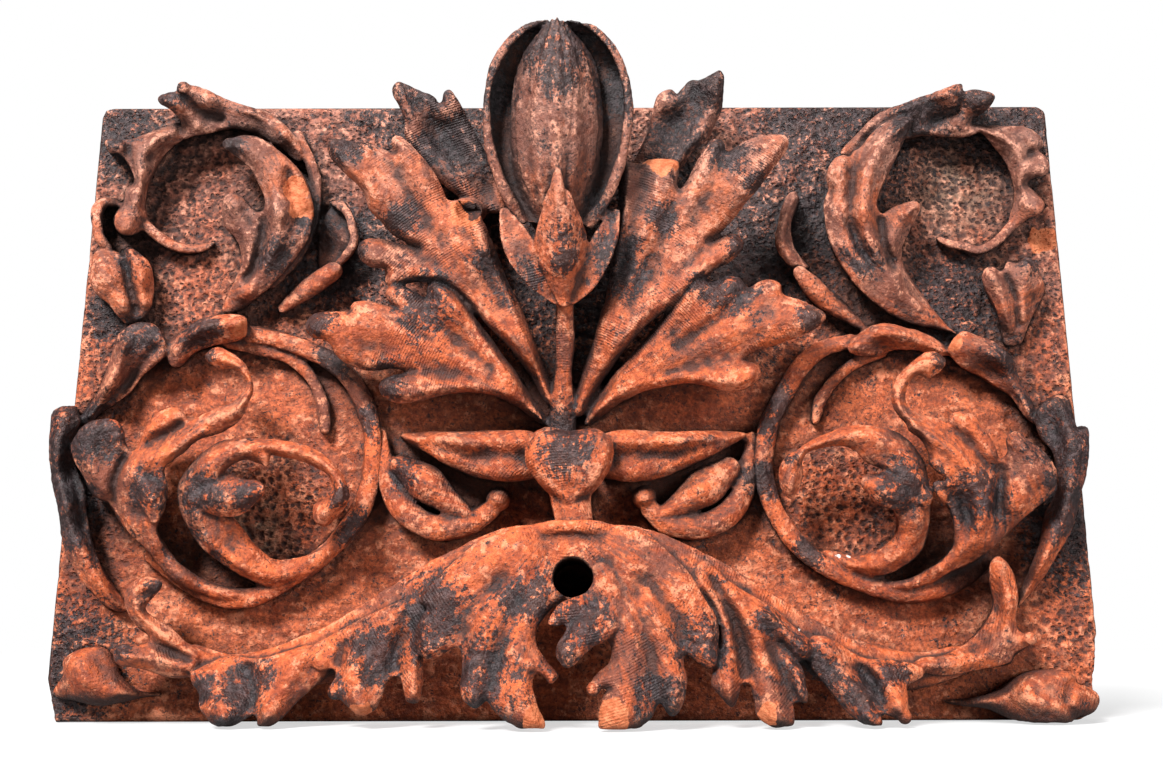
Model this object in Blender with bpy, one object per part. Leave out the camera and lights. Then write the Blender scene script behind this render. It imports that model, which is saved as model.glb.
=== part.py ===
"""Terracotta frieze panel: a squared block with deeply modelled scrolling acanthus on its front.

The block stands on its underside.  X runs across it, Z up, and its front faces -Y.  The origin
is the middle of the underside.  The ornament is drawn on the panel in millimetres: across from
the panel's middle, up from its bottom edge and out from its ground.
"""
import math

import bmesh
import bpy
import numpy as np
from mathutils import Vector
from mathutils.geometry import delaunay_2d_cdt

# Driving sizes in metres.
BLOCK_WIDTH = 0.660
BLOCK_HEIGHT = 0.414
BLOCK_DEPTH = 0.105
RELIEF_HEIGHT = 0.118
LEAF_THICKNESS = 0.015
LEAF_RIM = 0.006
ROOT_DEPTH = 0.006
EDGE_MARGIN = 0.0012
HOLE_RADIUS = 0.0118
HOLE_DEPTH = 0.150
WEAR_DEPTH = 0.045
CARVING_CELL = 0.0036
CARVING_TRIANGLES = 8450

# The drawing's own measures in millimetres: the panel, the deepest relief and the eye point that
# the drawing was made from.  What stands proud is drawn larger, and place() takes it back.
DRAWN_WIDTH = 660.0
DRAWN_HEIGHT = 414.0
DRAWN_RELIEF = 118.0
EYE_ACROSS = 4.9
EYE_UP = 45.0
EYE_OUT = 732.0

# A leaf lies on the ground up to FREE_FROM, lifts off it at LIFT beyond that, and is thin to
# its rim from FREE_OVER further out.
FREE_FROM = 36.0
FREE_OVER = 14.0
LIFT = 1.8

# How far in from its edge a leaf's rim turns down, and how far in its ribs come to full height.
RIM_REACH = 9.0
RIB_EASE = 5.0

# Where the cosine of a corner of a free leaf's outline is above TIP_SHARPNESS, a bead of clay this
# far in from it blunts the tip.
TIP_SHARPNESS = 0.25
TIP_INSET = 3.4
TIP_RADIUS = 4.6

# The degrees at which a ribbon's round end is drawn.
ROUND_TURNS = (30, 60, 80)

GROUND_Y = -BLOCK_DEPTH / 2

# The worn corners of the front: how far in from the end of the block and how far up, in metres.
LOW_LEFT_WEAR = 0.007
LEFT_WEAR_TOP = 0.026
LOW_RIGHT_WEAR = [(0.020, 0.0), (0.009, 0.004), (0.004, 0.014), (0.006, 0.024), (0.0, 0.052)]
TOP_RIGHT_WEAR = (0.005, 0.006)
TOP_LEFT_WEAR = (0.008, 0.007)

# The mouth of the hole as (across, up, out), and how far in front of it the boring starts.
HOLE_MOUTH = (-1, 89, 80)
HOLE_LEAD = 0.020
HOLE_SIDES = 24

# Loose bits of the skin with fewer faces than this are left out.
FEWEST_FACES = 24

# Ribbons: a kind, then points of (across, up, out, half width).
# The kind sets how round the section is: a positive crown is domed, a negative one is cupped.
# The rooted kinds go down into the ground all along; the others lift off it as they rise.
CROWN = {"stem": 0.55, "boss": 0.8, "roll": 0.8, "band": 0.45, "leaf": -0.22}
ROOTED = ("stem", "boss")

RIBBONS = [
    # Ring stem of the lower left scroll, its inner curl and its spur.
    ("stem", [(-222, 250, 16, 5), (-205, 247, 17, 5.5), (-185, 241, 18, 5.5), (-165, 232, 18, 6),
              (-150, 220, 19, 6), (-140, 205, 20, 6), (-133, 188, 20, 6), (-131, 172, 20, 6),
              (-132, 150, 20, 6), (-137, 133, 20, 6), (-147, 117, 20, 6), (-160, 103, 20, 6),
              (-178, 90, 20, 6), (-205, 76, 20, 6), (-235, 80, 18, 6), (-270, 102, 14, 5)]),
    ("stem", [(-230, 243, 12, 4), (-200, 236, 12, 4), (-185, 230, 12, 4), (-173, 218, 11, 4),
              (-165, 200, 11, 4), (-163, 185, 9, 3)]),
    # Ring stem and inner curl of the lower right scroll.
    ("stem", [(185, 243, 16, 5), (165, 238, 17, 5.5), (150, 225, 18, 6), (138, 207, 19, 6),
              (128, 188, 20, 6), (124, 170, 20, 6), (123, 155, 20, 6), (126, 138, 20, 6),
              (135, 120, 20, 6), (150, 102, 20, 6), (175, 88, 20, 6), (210, 78, 20, 6),
              (240, 84, 18, 6), (262, 98, 14, 5)]),
    ("stem", [(205, 236, 12, 4), (190, 230, 12, 4), (175, 220, 11, 4), (163, 205, 11, 4),
              (158, 190, 9, 3)]),
    # Rolled ends of the leaves in the lower scrolls.
    ("roll", [(-282, 152, 56, 5.5), (-275, 143, 58, 9), (-271, 134, 54, 7.5), (-270, 126, 50, 3)]),
    ("roll", [(-242, 140, 54, 9), (-230, 141, 60, 13.5), (-218, 141, 62, 13), (-208, 144, 60, 7.5)]),
    ("roll", [(-210, 171, 59, 4), (-203, 167, 60, 4), (-201, 162, 58, 2)]),
    ("roll", [(221, 141, 54, 10.5), (210, 143, 60, 13), (199, 145, 62, 11), (192, 148, 60, 6)]),
    # The two boughs that fall from the middle.
    ("band", [(-8, 104, 72, 18), (-40, 98, 72, 22), (-75, 80, 68, 24), (-110, 60, 60, 23),
              (-145, 44, 50, 18), (-180, 33, 42, 14), (-212, 30, 36, 11), (-240, 38, 34, 9)]),
    ("band", [(8, 104, 72, 18), (40, 98, 72, 22), (75, 80, 68, 24), (110, 60, 60, 23),
              (145, 44, 50, 18), (180, 33, 42, 14), (212, 30, 36, 11), (240, 36, 34, 9)]),
    # Collar and neck over the middle.
    ("band", [(-30, 117, 70, 3), (-15, 120, 74, 4), (0, 121, 75, 4), (15, 120, 74, 4),
              (28, 117, 70, 3)]),
    ("stem", [(0, 108, 68, 12), (0, 122, 62, 12), (-2, 136, 58, 13), (-3, 150, 56, 15)]),
    # Little scrolls beside the neck, with their buds.
    ("stem", [(-127, 182, 13, 4), (-124, 168, 18, 5), (-119, 146, 22, 7), (-107, 129, 26, 8),
              (-88, 120, 28, 8), (-68, 122, 28, 7), (-54, 131, 28, 6)]),
    ("boss", [(-113, 160, 26, 7), (-98, 150, 33, 12), (-84, 139, 31, 9), (-72, 131, 29, 5)]),
    ("stem", [(116, 178, 13, 4), (114, 166, 18, 5), (110, 144, 22, 7), (99, 128, 26, 8),
              (80, 120, 28, 8), (60, 122, 28, 7), (49, 131, 28, 6)]),
    ("boss", [(101, 158, 26, 7), (86, 147, 33, 12), (72, 137, 31, 9), (60, 130, 29, 5)]),
    # Palmette stalk, the small bud on it and that bud's two sepals.
    ("stem", [(-8, 186, 30, 9), (-7, 220, 40, 6), (-6, 252, 54, 6), (-6, 280, 68, 6)]),
    ("roll", [(-7, 272, 70, 5), (-8, 286, 80, 12), (-9, 300, 90, 17), (-9, 314, 95, 18),
              (-9, 328, 101, 15), (-10, 342, 105, 10), (-11, 354, 107, 6), (-11, 365, 106, 2)]),
    ("leaf", [(-12, 274, 66, 5), (-24, 288, 74, 9), (-34, 304, 78, 11), (-41, 319, 78, 9),
              (-47, 335, 76, 4)]),
    ("leaf", [(-1, 274, 66, 5), (8, 286, 72, 8), (15, 301, 76, 9), (22, 317, 76, 8),
              (28, 334, 74, 4)]),
    # Great bud and the two shells that hold it.
    ("roll", [(-11, 318, 72, 13), (-12, 344, 88, 25), (-12, 370, 102, 30), (-12, 400, 112, 32),
              (-12, 428, 116, 31), (-12, 452, 118, 25), (-12, 470, 118, 13), (-12, 481, 117, 4)]),
    ("band", [(-36, 331, 74, 5), (-49, 354, 84, 4), (-58, 382, 91, 3.2), (-61, 412, 97, 3),
              (-58, 438, 102, 3), (-48, 460, 107, 3), (-33, 476, 111, 3), (-17, 484, 114, 3)]),
    ("band", [(11, 328, 74, 5), (24, 349, 84, 4), (34, 378, 91, 3.2), (38, 410, 97, 3),
              (35, 438, 102, 3), (26, 460, 107, 3), (11, 476, 111, 3), (-4, 484, 114, 3)]),
    # Upper left scroll: ring stem, edge hook, tail and bud.
    ("stem", [(-192, 392, 14, 4), (-182, 372, 16, 4), (-177, 350, 16, 4), (-179, 325, 16, 4),
              (-188, 303, 15, 4), (-203, 285, 14, 4)]),
    ("stem", [(-313, 342, 12, 2), (-321, 343, 18, 3), (-326, 338, 22, 4), (-326, 329, 22, 3.5),
              (-323, 318, 20, 3), (-317, 310, 16, 2.5)]),
    ("stem", [(-292, 326, 20, 4), (-283, 318, 18, 3.5), (-271, 311, 16, 3), (-258, 309, 14, 3),
              (-249, 311, 12, 2.5), (-245, 313, 10, 1.5)]),
    ("boss", [(-195, 267, 12, 3.5), (-185, 276, 18, 5.5), (-173, 285, 24, 7), (-163, 293, 27, 6.5)]),
    # Upper right scroll: tail and bud.
    ("stem", [(297, 323, 16, 3.5), (287, 313, 16, 3.5), (275, 307, 14, 3), (264, 310, 13, 3),
              (255, 312, 12, 2.5), (248, 315, 10, 1.5)]),
    ("boss", [(153, 291, 28, 5), (161, 281, 26, 7), (173, 269, 20, 6), (186, 259, 15, 4),
              (197, 250, 12, 2)]),
]

# Blades: a crown, an outline of (across, up), a few heights of (across, up, out), and ribs of
# (height, width, line of (across, up)); a rib below zero is a valley.
BLADES = [
    # Middle leaves that hang over the hole, left and right, and the lobe that overlaps them.
    (3, [(-4, 118), (-17, 120), (-29, 121), (-45, 116), (-62, 110), (-74, 101), (-85, 91), (-92, 83),
         (-97, 77), (-98, 72), (-93, 69), (-97, 64), (-100, 56), (-100, 47), (-97, 40), (-91, 37),
         (-84, 39), (-78, 43), (-73, 45), (-71, 39), (-71, 29), (-71, 19), (-68, 12), (-62, 8),
         (-57, 11), (-55, 14), (-51, 8), (-45, 2), (-37, -3), (-29, -6), (-23, -6), (-18, -5), (-18, 0),
         (-22, 8), (-25, 17), (-26, 25), (-24, 29), (-19, 27), (-15, 22), (-11, 25), (-10, 29),
         (-15, 34), (-21, 41), (-24, 49), (-23, 56), (-19, 63), (-13, 70), (-6, 80)],
     [(-10, 105, 70), (-50, 95, 76), (-92, 70, 76), (-90, 42, 76), (-50, 60, 83), (-62, 12, 84),
      (-25, 0, 90)],
     [(3, 10, [(-30, 106), (-70, 86), (-90, 62), (-92, 44)]),
      (3, 9, [(-25, 98), (-50, 74), (-60, 42), (-61, 14)]),
      (3, 9, [(-16, 92), (-36, 62), (-36, 32), (-25, -2)]),
      (2, 5, [(-38, 40), (-26, 34), (-15, 26)]),
      (-3.5, 6, [(-73, 46), (-66, 64), (-46, 88)]),
      (-3.5, 6, [(-55, 14), (-48, 40), (-34, 72)])]),
    (3, [(-6, 118), (11, 121), (29, 121), (43, 118), (55, 110), (66, 99), (76, 85), (83, 73), (89, 64),
         (91, 54), (90, 44), (89, 35), (85, 32), (80, 34), (73, 39), (69, 41), (68, 35), (70, 26),
         (69, 15), (66, 7), (61, 3), (57, 6), (54, 11), (51, 9), (48, 2), (42, -3), (33, -7), (25, -6),
         (17, -6), (15, -1), (16, 7), (19, 15), (21, 19), (15, 20), (10, 17), (11, 24), (15, 30),
         (21, 35), (23, 41), (22, 47), (17, 53), (11, 63), (4, 71), (-3, 80)],
     [(8, 105, 70), (45, 95, 76), (85, 65, 76), (85, 38, 76), (45, 60, 83), (61, 10, 84),
      (24, 0, 90)],
     [(3, 10, [(25, 106), (60, 84), (82, 60), (85, 38)]),
      (3, 9, [(30, 98), (48, 72), (58, 42), (60, 10)]),
      (3, 9, [(26, 86), (36, 58), (34, 28), (26, 0)]),
      (2, 5, [(36, 36), (24, 28), (14, 20)]),
      (-3.5, 6, [(69, 41), (64, 62), (46, 86)]),
      (-3.5, 6, [(54, 11), (48, 38), (40, 76)])]),
    (3, [(16, 97), (12, 94), (13, 89), (10, 82), (1, 76), (-9, 72), (-14, 66), (-17, 59), (-13, 57), (-7, 58),
         (-5, 56), (-8, 51), (-12, 44), (-11, 37), (-6, 32), (-2, 32), (5, 38), (11, 44), (18, 48),
         (24, 53), (30, 63), (33, 73), (29, 85), (22, 95)],
     [(15, 80, 82), (0, 60, 90), (-4, 36, 96)],
     [(3, 8, [(22, 80), (8, 62), (-3, 38)]),
      (-3, 4, [(-7, 57), (4, 64), (14, 76)])]),
    # Bough ends, lobes that hang from the boughs and the buds in the bottom corners.
    (3, [(-226, 39), (-243, 48), (-254, 57), (-264, 63), (-271, 69), (-267, 75), (-262, 82), (-263, 87),
         (-274, 89), (-283, 84), (-286, 76), (-283, 67), (-275, 58), (-268, 53), (-268, 48), (-277, 47),
         (-288, 46), (-289, 39), (-284, 34), (-269, 32), (-253, 27), (-241, 27), (-230, 32)],
     [(-231, 36, 36), (-248, 38, 42), (-262, 53, 46), (-284, 75, 50), (-271, 86, 54), (-286, 41, 50)],
     [(4, 5, [(-239, 41), (-258, 51), (-275, 65), (-280, 78), (-272, 86)]),
      (4, 5, [(-241, 33), (-265, 38), (-284, 40)]),
      (-5, 3, [(-268, 50), (-255, 44), (-242, 38)])]),
    (3, [(-235, 32), (-240, 29), (-239, 23), (-234, 17), (-233, 8), (-225, -1), (-217, -4), (-208, -1),
         (-200, 4), (-197, 2), (-196, -3), (-188, -3), (-179, 4), (-169, 15), (-158, 25), (-153, 33),
         (-156, 44), (-164, 47), (-195, 39), (-217, 40)],
     [(-223, 36, 40), (-236, 26, 50), (-220, 0, 64), (-193, 0, 64), (-178, 19, 54), (-161, 39, 50)],
     [(6, 8, [(-223, 35), (-222, 18), (-217, 0)]),
      (-6, 5, [(-200, 4), (-200, 18), (-204, 32)]),
      (5, 7, [(-171, 38), (-183, 19), (-192, 0)])]),
    (3, [(-164, 46), (-166, 38), (-160, 31), (-151, 32), (-149, 27), (-153, 19), (-151, 14), (-145, 13),
         (-134, 4), (-124, 7), (-119, 16), (-116, 25), (-110, 27), (-106, 19), (-104, 12), (-97, 12),
         (-95, 22), (-95, 40), (-91, 59), (-92, 77), (-118, 70), (-141, 59)],
     [(-158, 44, 52), (-162, 36, 58), (-147, 15, 64), (-133, 7, 68), (-123, 31, 62), (-101, 15, 70),
      (-99, 59, 64)],
     [(6, 7, [(-141, 54), (-138, 33), (-134, 7)]),
      (-7, 5, [(-113, 27), (-111, 44), (-102, 67)]),
      (5, 5, [(-94, 62), (-99, 36), (-100, 13)]),
      (-5, 4, [(-150, 31), (-145, 44), (-141, 53)])]),
    (6, [(-324, 17), (-319, 28), (-319, 38), (-309, 44), (-295, 45), (-287, 36), (-282, 27), (-271, 19),
         (-257, 17), (-271, 14), (-293, 10), (-312, 13)],
     [(-323, 17, 14), (-307, 29, 30), (-295, 41, 22), (-282, 20, 22), (-259, 17, 10)],
     [(4, 8, [(-311, 32), (-300, 23), (-274, 16)])]),
    (3, [(75, 85), (84, 75), (90, 63), (92, 50), (88, 32), (85, 22), (91, 14), (98, 8), (103, 16),
         (104, 22), (110, 22), (112, 12), (113, 4), (120, -2), (128, -5), (136, -3), (137, 6),
         (136, 11), (145, 11), (145, 22), (143, 32), (140, 36), (147, 37), (150, 43), (146, 51),
         (137, 58), (124, 70), (99, 85), (83, 98)],
     [(81, 88, 70), (88, 55, 68), (92, 16, 74), (122, -1, 76), (144, 12, 70), (148, 43, 62),
      (116, 63, 66), (132, 55, 60)],
     [(5, 6, [(84, 85), (95, 63), (97, 38), (96, 12)]),
      (-8, 5, [(107, 22), (105, 45), (96, 71), (87, 87)]),
      (5, 6, [(99, 77), (117, 48), (121, 25), (127, -2)]),
      (-5, 4, [(136, 11), (130, 29), (122, 45)]),
      (4, 5, [(116, 68), (135, 47), (144, 16)]),
      (-5, 3, [(139, 36), (130, 47)]),
      (4, 4, [(124, 65), (147, 42)])]),
    (3, [(145, 38), (149, 30), (159, 17), (169, 5), (178, -2), (188, -7), (191, -1), (190, 4), (197, 2),
         (207, -1), (207, 12), (207, 21), (217, 26), (217, 32), (207, 35), (180, 38), (161, 50),
         (147, 50)],
     [(150, 42, 58), (166, 15, 62), (188, -4, 72), (207, 3, 66), (216, 30, 50), (180, 33, 50)],
     [(5, 7, [(160, 42), (176, 19), (186, -4)]),
      (-6, 5, [(190, 4), (188, 19), (180, 32)]),
      (5, 6, [(187, 33), (201, 15), (206, 1)]),
      (3, 5, [(190, 35), (215, 30)])]),
    (3, [(216, 37), (215, 32), (228, 27), (249, 30), (271, 34), (276, 40), (287, 46), (290, 51),
         (283, 53), (279, 59), (281, 79), (278, 93), (271, 101), (265, 96), (264, 85), (265, 71),
         (259, 59), (248, 48), (234, 40)],
     [(217, 33, 44), (237, 33, 42), (266, 41, 44), (287, 50, 46), (276, 71, 50), (269, 98, 46),
      (252, 50, 30), (265, 71, 32)],
     [(4, 5, [(220, 33), (246, 35), (269, 50), (276, 71), (271, 95)])]),
    (6, [(229, 12), (249, 14), (265, 19), (280, 28), (297, 30), (312, 28), (313, 22), (320, 20),
         (327, 14), (322, 5), (310, 1), (306, -4), (287, -5), (271, 0), (255, 7), (239, 9)],
     [(232, 11, 12), (264, 10, 26), (289, 15, 42), (309, 12, 44), (324, 12, 34)],
     [(4, 8, [(256, 12), (281, 12), (305, 6)]),
      (-5, 3, [(311, 22), (306, 12), (309, 2)])]),
    # Heart at the middle of the panel and the two level leaves behind it.
    (12, [(-3, 183), (-18, 185), (-30, 178), (-32, 163), (-24, 149), (-12, 137), (-3, 131),
          (6, 137), (17, 148), (25, 162), (25, 176), (14, 185)],
     [(-3, 165, 66), (-3, 135, 60)]),
    (6, [(-24, 181), (-70, 182), (-113, 181), (-96, 168), (-76, 157), (-58, 151), (-38, 150),
         (-20, 156)],
     [(-30, 176, 48), (-30, 160, 42), (-70, 176, 44), (-70, 160, 34), (-112, 180, 28)],
     [(3, 5, [(-24, 177), (-70, 176), (-108, 180)]), (-3, 4, [(-28, 166), (-70, 168), (-96, 174)])]),
    (6, [(20, 181), (66, 182), (112, 181), (92, 168), (70, 157), (52, 151), (34, 150),
         (15, 156)],
     [(24, 176, 48), (24, 160, 42), (66, 176, 44), (66, 160, 34), (111, 180, 28)],
     [(3, 5, [(20, 177), (66, 176), (106, 180)]), (-3, 4, [(22, 166), (66, 168), (94, 174)])]),
    # Low pair of palmette leaves.
    (6, [(-18, 191), (-27, 204), (-37, 220), (-49, 236), (-61, 253), (-71, 267), (-81, 279), (-89, 285),
         (-96, 286), (-99, 281), (-99, 274), (-103, 276), (-112, 281), (-120, 283), (-126, 280),
         (-126, 273), (-119, 267), (-128, 269), (-137, 272), (-146, 272), (-150, 269), (-150, 265),
         (-159, 265), (-170, 264), (-177, 260), (-179, 253), (-174, 247), (-164, 244), (-159, 236),
         (-150, 228), (-136, 224), (-120, 225), (-107, 223), (-117, 221), (-126, 218), (-129, 213),
         (-126, 206), (-116, 202), (-103, 203), (-87, 207), (-71, 209), (-55, 207), (-44, 203),
         (-33, 196), (-21, 187)],
     [(-18, 195, 30), (-60, 235, 46), (-90, 280, 58), (-125, 280, 60), (-176, 257, 62),
      (-126, 213, 50), (-70, 212, 44)],
     [(3, 9, [(-22, 195), (-50, 230), (-74, 262), (-93, 280)]),
      (3, 8, [(-28, 196), (-60, 207), (-95, 211), (-124, 213)]),
      (2, 10, [(-44, 208), (-90, 238), (-130, 254), (-172, 256)]),
      (-3, 8, [(-106, 223), (-84, 222), (-58, 214)]),
      (-3, 6, [(-99, 274), (-96, 262), (-78, 244), (-56, 226)]),
      (-2.5, 5, [(-127, 273), (-116, 258), (-96, 246)])]),
    (6, [(7, 189), (12, 201), (22, 215), (33, 229), (47, 245), (59, 259), (69, 272), (76, 283),
         (80, 289), (85, 291), (89, 287), (95, 285), (103, 289), (112, 287), (115, 282), (118, 280),
         (124, 284), (132, 286), (139, 283), (140, 276), (150, 273), (161, 268), (169, 262), (165, 255),
         (149, 247), (135, 241), (123, 237), (112, 231), (121, 228), (124, 222), (121, 216), (111, 210),
         (99, 210), (88, 213), (74, 215), (61, 213), (47, 210), (33, 203), (22, 195), (10, 187)],
     [(12, 195, 30), (55, 235, 46), (83, 286, 58), (110, 284, 60), (162, 262, 62),
      (120, 218, 50), (65, 212, 44)],
     [(3, 9, [(14, 197), (42, 234), (64, 264), (84, 288)]),
      (3, 8, [(20, 195), (56, 213), (90, 216), (120, 221)]),
      (2, 6, [(20, 200), (66, 232), (110, 250), (160, 263)]),
      (-3, 8, [(112, 231), (86, 228), (54, 220)]),
      (-3, 6, [(116, 281), (100, 262), (70, 242)]),
      (2, 5, [(56, 236), (90, 262), (110, 284)])]),
    # Tall pair of palmette leaves.
    (6, [(-12, 199), (-17, 220), (-23, 236), (-30, 253), (-38, 272), (-48, 294), (-56, 314), (-62, 330),
         (-67, 337), (-77, 343), (-87, 344), (-91, 354), (-98, 367), (-108, 379), (-118, 390),
         (-125, 392), (-127, 387), (-125, 379), (-133, 382), (-143, 386), (-157, 388), (-168, 389),
         (-171, 384), (-169, 376), (-160, 366), (-150, 357), (-144, 349), (-140, 337), (-130, 326),
         (-121, 318), (-106, 309), (-119, 312), (-132, 316), (-142, 316), (-147, 310), (-145, 302),
         (-138, 296), (-128, 294), (-127, 285), (-121, 282), (-110, 285), (-98, 285), (-87, 284),
         (-77, 277), (-68, 267), (-58, 255), (-46, 243), (-35, 229), (-26, 215), (-18, 201)],
     [(-12, 202, 32), (-40, 268, 52), (-75, 330, 68), (-115, 372, 76), (-166, 384, 80),
      (-140, 305, 60), (-122, 289, 56)],
     [(4, 8, [(-16, 206), (-32, 250), (-52, 296), (-74, 338)]),
      (2.5, 9, [(-22, 214), (-64, 280), (-96, 336), (-122, 386)]),
      (2.5, 9, [(-34, 232), (-80, 290), (-130, 340), (-165, 382)]),
      (3, 8, [(-46, 246), (-84, 280), (-110, 296), (-142, 307)]),
      (-3, 7, [(-132, 382), (-112, 350), (-84, 306), (-52, 258)]),
      (-3, 6, [(-106, 309), (-86, 294), (-58, 262)]),
      (-2.5, 6, [(-87, 346), (-72, 318), (-48, 272)])]),
    (6, [(-1, 198), (5, 222), (12, 241), (16, 258), (21, 274), (25, 296), (27, 316), (30, 336),
         (31, 351), (31, 364), (34, 370), (40, 371), (43, 369), (50, 373), (61, 375), (72, 372),
         (72, 364), (71, 353), (74, 352), (81, 364), (89, 380), (95, 388), (101, 389), (105, 385),
         (105, 379), (110, 381), (119, 387), (131, 391), (144, 392), (149, 388), (147, 379), (140, 370),
         (129, 355), (115, 338), (103, 323), (93, 314), (102, 318), (110, 319), (115, 314), (114, 307),
         (107, 300), (95, 293), (83, 284), (73, 274), (61, 265), (48, 254), (34, 238), (22, 221),
         (13, 206), (5, 193)],
     [(4, 204, 32), (24, 280, 54), (38, 355, 70), (64, 366, 72), (100, 382, 76),
      (144, 387, 80), (112, 312, 60)],
     [(3, 8, [(3, 206), (20, 280), (37, 366)]),
      (2, 8, [(12, 220), (42, 296), (64, 366)]),
      (-2.5, 6, [(14, 240), (34, 306), (50, 362)]),
      (-3, 6, [(74, 354), (62, 322), (38, 268)]),
      (2.5, 8, [(22, 226), (66, 306), (99, 384)]),
      (2.5, 9, [(26, 230), (84, 312), (144, 388)]),
      (-3, 7, [(105, 380), (86, 342), (56, 288)]),
      (3, 8, [(36, 242), (76, 286), (110, 312)]),
      (-3, 6, [(93, 314), (76, 296), (48, 256)])]),
    # Back pair of palmette leaves.
    (4, [(-48, 336), (-49, 346), (-55, 367), (-63, 382), (-71, 397), (-77, 411), (-83, 421), (-87, 426),
         (-91, 424), (-93, 415), (-99, 422), (-109, 426), (-118, 431), (-124, 433), (-127, 429),
         (-127, 423), (-123, 415), (-118, 403), (-117, 392), (-111, 379), (-101, 366), (-91, 357),
         (-79, 347), (-62, 336)],
     [(-50, 340, 34), (-90, 385, 42), (-123, 428, 56), (-90, 424, 54), (-62, 395, 44)],
     [(-4, 9, [(-62, 352), (-88, 388), (-112, 418)]),
      (2.5, 6, [(-70, 346), (-104, 384), (-123, 426)])]),
    (4, [(32, 341), (36, 360), (45, 379), (52, 396), (55, 412), (58, 422), (64, 426), (69, 426),
         (72, 422), (77, 428), (82, 433), (89, 434), (97, 439), (103, 442), (106, 436), (105, 423),
         (103, 410), (97, 399), (93, 390), (83, 381), (71, 364), (54, 346)],
     [(38, 350, 34), (68, 395, 42), (66, 424, 54), (102, 438, 60), (92, 396, 46)],
     [(-4, 9, [(50, 360), (70, 396), (86, 426)]),
      (2.5, 6, [(58, 356), (90, 398), (102, 436)])]),
    # Cup of the great bud, behind its bulb.
    (-3, [(-38, 330), (-54, 360), (-61, 400), (-58, 435), (-46, 461), (-28, 478), (-12, 483),
          (5, 478), (24, 461), (36, 435), (39, 400), (32, 360), (12, 328)],
     [(-14, 335, 70), (-12, 380, 74), (-12, 430, 80), (-12, 475, 100)]),
    # Lower left scroll: outer leaf, inner leaf, leaves outside the ring and along the edge.
    (4, [(-192, 77), (-212, 74), (-232, 77), (-247, 83), (-259, 91), (-270, 103), (-281, 113),
         (-290, 122), (-297, 132), (-301, 137), (-310, 141), (-318, 153), (-326, 166), (-328, 175),
         (-322, 186), (-312, 191), (-301, 191), (-295, 184), (-293, 175), (-289, 169), (-284, 173),
         (-283, 181), (-279, 189), (-272, 196), (-262, 199), (-256, 195), (-253, 190), (-246, 193),
         (-237, 198), (-227, 202), (-221, 207), (-217, 215), (-220, 221), (-225, 224), (-235, 225),
         (-243, 230), (-245, 235), (-238, 240), (-229, 237), (-219, 229), (-213, 219), (-211, 210),
         (-214, 201), (-218, 191), (-227, 184), (-237, 180), (-246, 177), (-253, 170), (-260, 164),
         (-266, 158), (-263, 149), (-263, 140), (-266, 129), (-268, 119), (-262, 109), (-252, 97),
         (-238, 88), (-220, 82), (-204, 80)],
     [(-194, 78, 20), (-232, 83, 24), (-259, 97, 30), (-277, 112, 36), (-290, 127, 40), (-296, 134, 38),
      (-267, 122, 46), (-282, 141, 52), (-325, 170, 50), (-312, 188, 56), (-293, 164, 48),
      (-271, 194, 57), (-271, 173, 54), (-264, 158, 58), (-245, 185, 57), (-218, 205, 60),
      (-239, 235, 60)],
     [(5, 6, [(-289, 119), (-293, 134), (-293, 149), (-284, 161), (-265, 170), (-245, 179)]),
      (-7, 4, [(-290, 170), (-296, 155), (-298, 135)]),
      (4, 6, [(-320, 179), (-314, 161), (-303, 143)]),
      (-6, 4, [(-254, 190), (-266, 182), (-282, 173)]),
      (3, 4, [(-239, 190), (-222, 199), (-215, 210), (-221, 225), (-236, 233)])]),
    (4, [(-147, 111), (-161, 95), (-179, 85), (-194, 83), (-209, 88), (-224, 97), (-238, 107),
         (-248, 121), (-254, 132), (-257, 147), (-252, 158), (-244, 168), (-232, 176), (-219, 179),
         (-202, 178), (-187, 176), (-172, 172), (-160, 164), (-150, 153), (-145, 141), (-148, 133),
         (-154, 126), (-161, 121), (-167, 125), (-168, 134), (-161, 138), (-157, 143), (-157, 150),
         (-163, 157), (-175, 163), (-187, 166), (-199, 168), (-201, 163), (-205, 162), (-214, 164),
         (-222, 161), (-228, 156), (-229, 149), (-227, 138), (-220, 127), (-213, 119), (-206, 110),
         (-199, 104), (-191, 99), (-180, 100), (-166, 104), (-153, 114)],
     [(-150, 111, 18), (-180, 90, 22), (-201, 87, 26), (-224, 100, 32), (-240, 112, 38),
      (-210, 110, 34), (-250, 129, 46), (-222, 129, 44), (-254, 149, 50), (-231, 155, 58),
      (-232, 171, 55), (-214, 170, 60), (-187, 173, 58), (-159, 158, 58), (-147, 141, 57),
      (-164, 126, 54)],
     [(4, 6, [(-180, 91), (-202, 91), (-225, 104), (-242, 125), (-247, 146), (-235, 164), (-214, 173),
               (-187, 171), (-163, 161), (-151, 143), (-163, 129)])]),
    # Lower right scroll: outer leaf and inner leaf.
    (4, [(181, 86), (196, 81), (211, 80), (226, 84), (238, 90), (254, 97), (270, 109), (283, 120),
         (296, 131), (308, 140), (313, 150), (312, 161), (306, 169), (299, 175), (291, 182), (285, 181),
         (282, 175), (282, 168), (277, 163), (275, 169), (272, 177), (267, 185), (263, 191), (255, 195),
         (247, 193), (245, 187), (241, 190), (230, 193), (221, 197), (218, 204), (219, 212), (227, 220),
         (235, 218), (245, 224), (247, 231), (241, 236), (232, 235), (220, 226), (212, 214), (209, 202),
         (212, 193), (217, 187), (219, 182), (226, 177), (230, 168), (231, 160), (238, 154), (243, 150),
         (233, 148), (236, 138), (241, 132), (244, 121), (243, 109), (236, 100), (226, 93), (214, 87),
         (199, 85)],
     [(190, 83, 20), (220, 84, 26), (251, 97, 32), (277, 117, 40), (303, 138, 48), (233, 105, 40),
      (249, 126, 46), (265, 129, 50), (310, 154, 56), (291, 177, 58), (280, 157, 52), (257, 191, 60),
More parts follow.
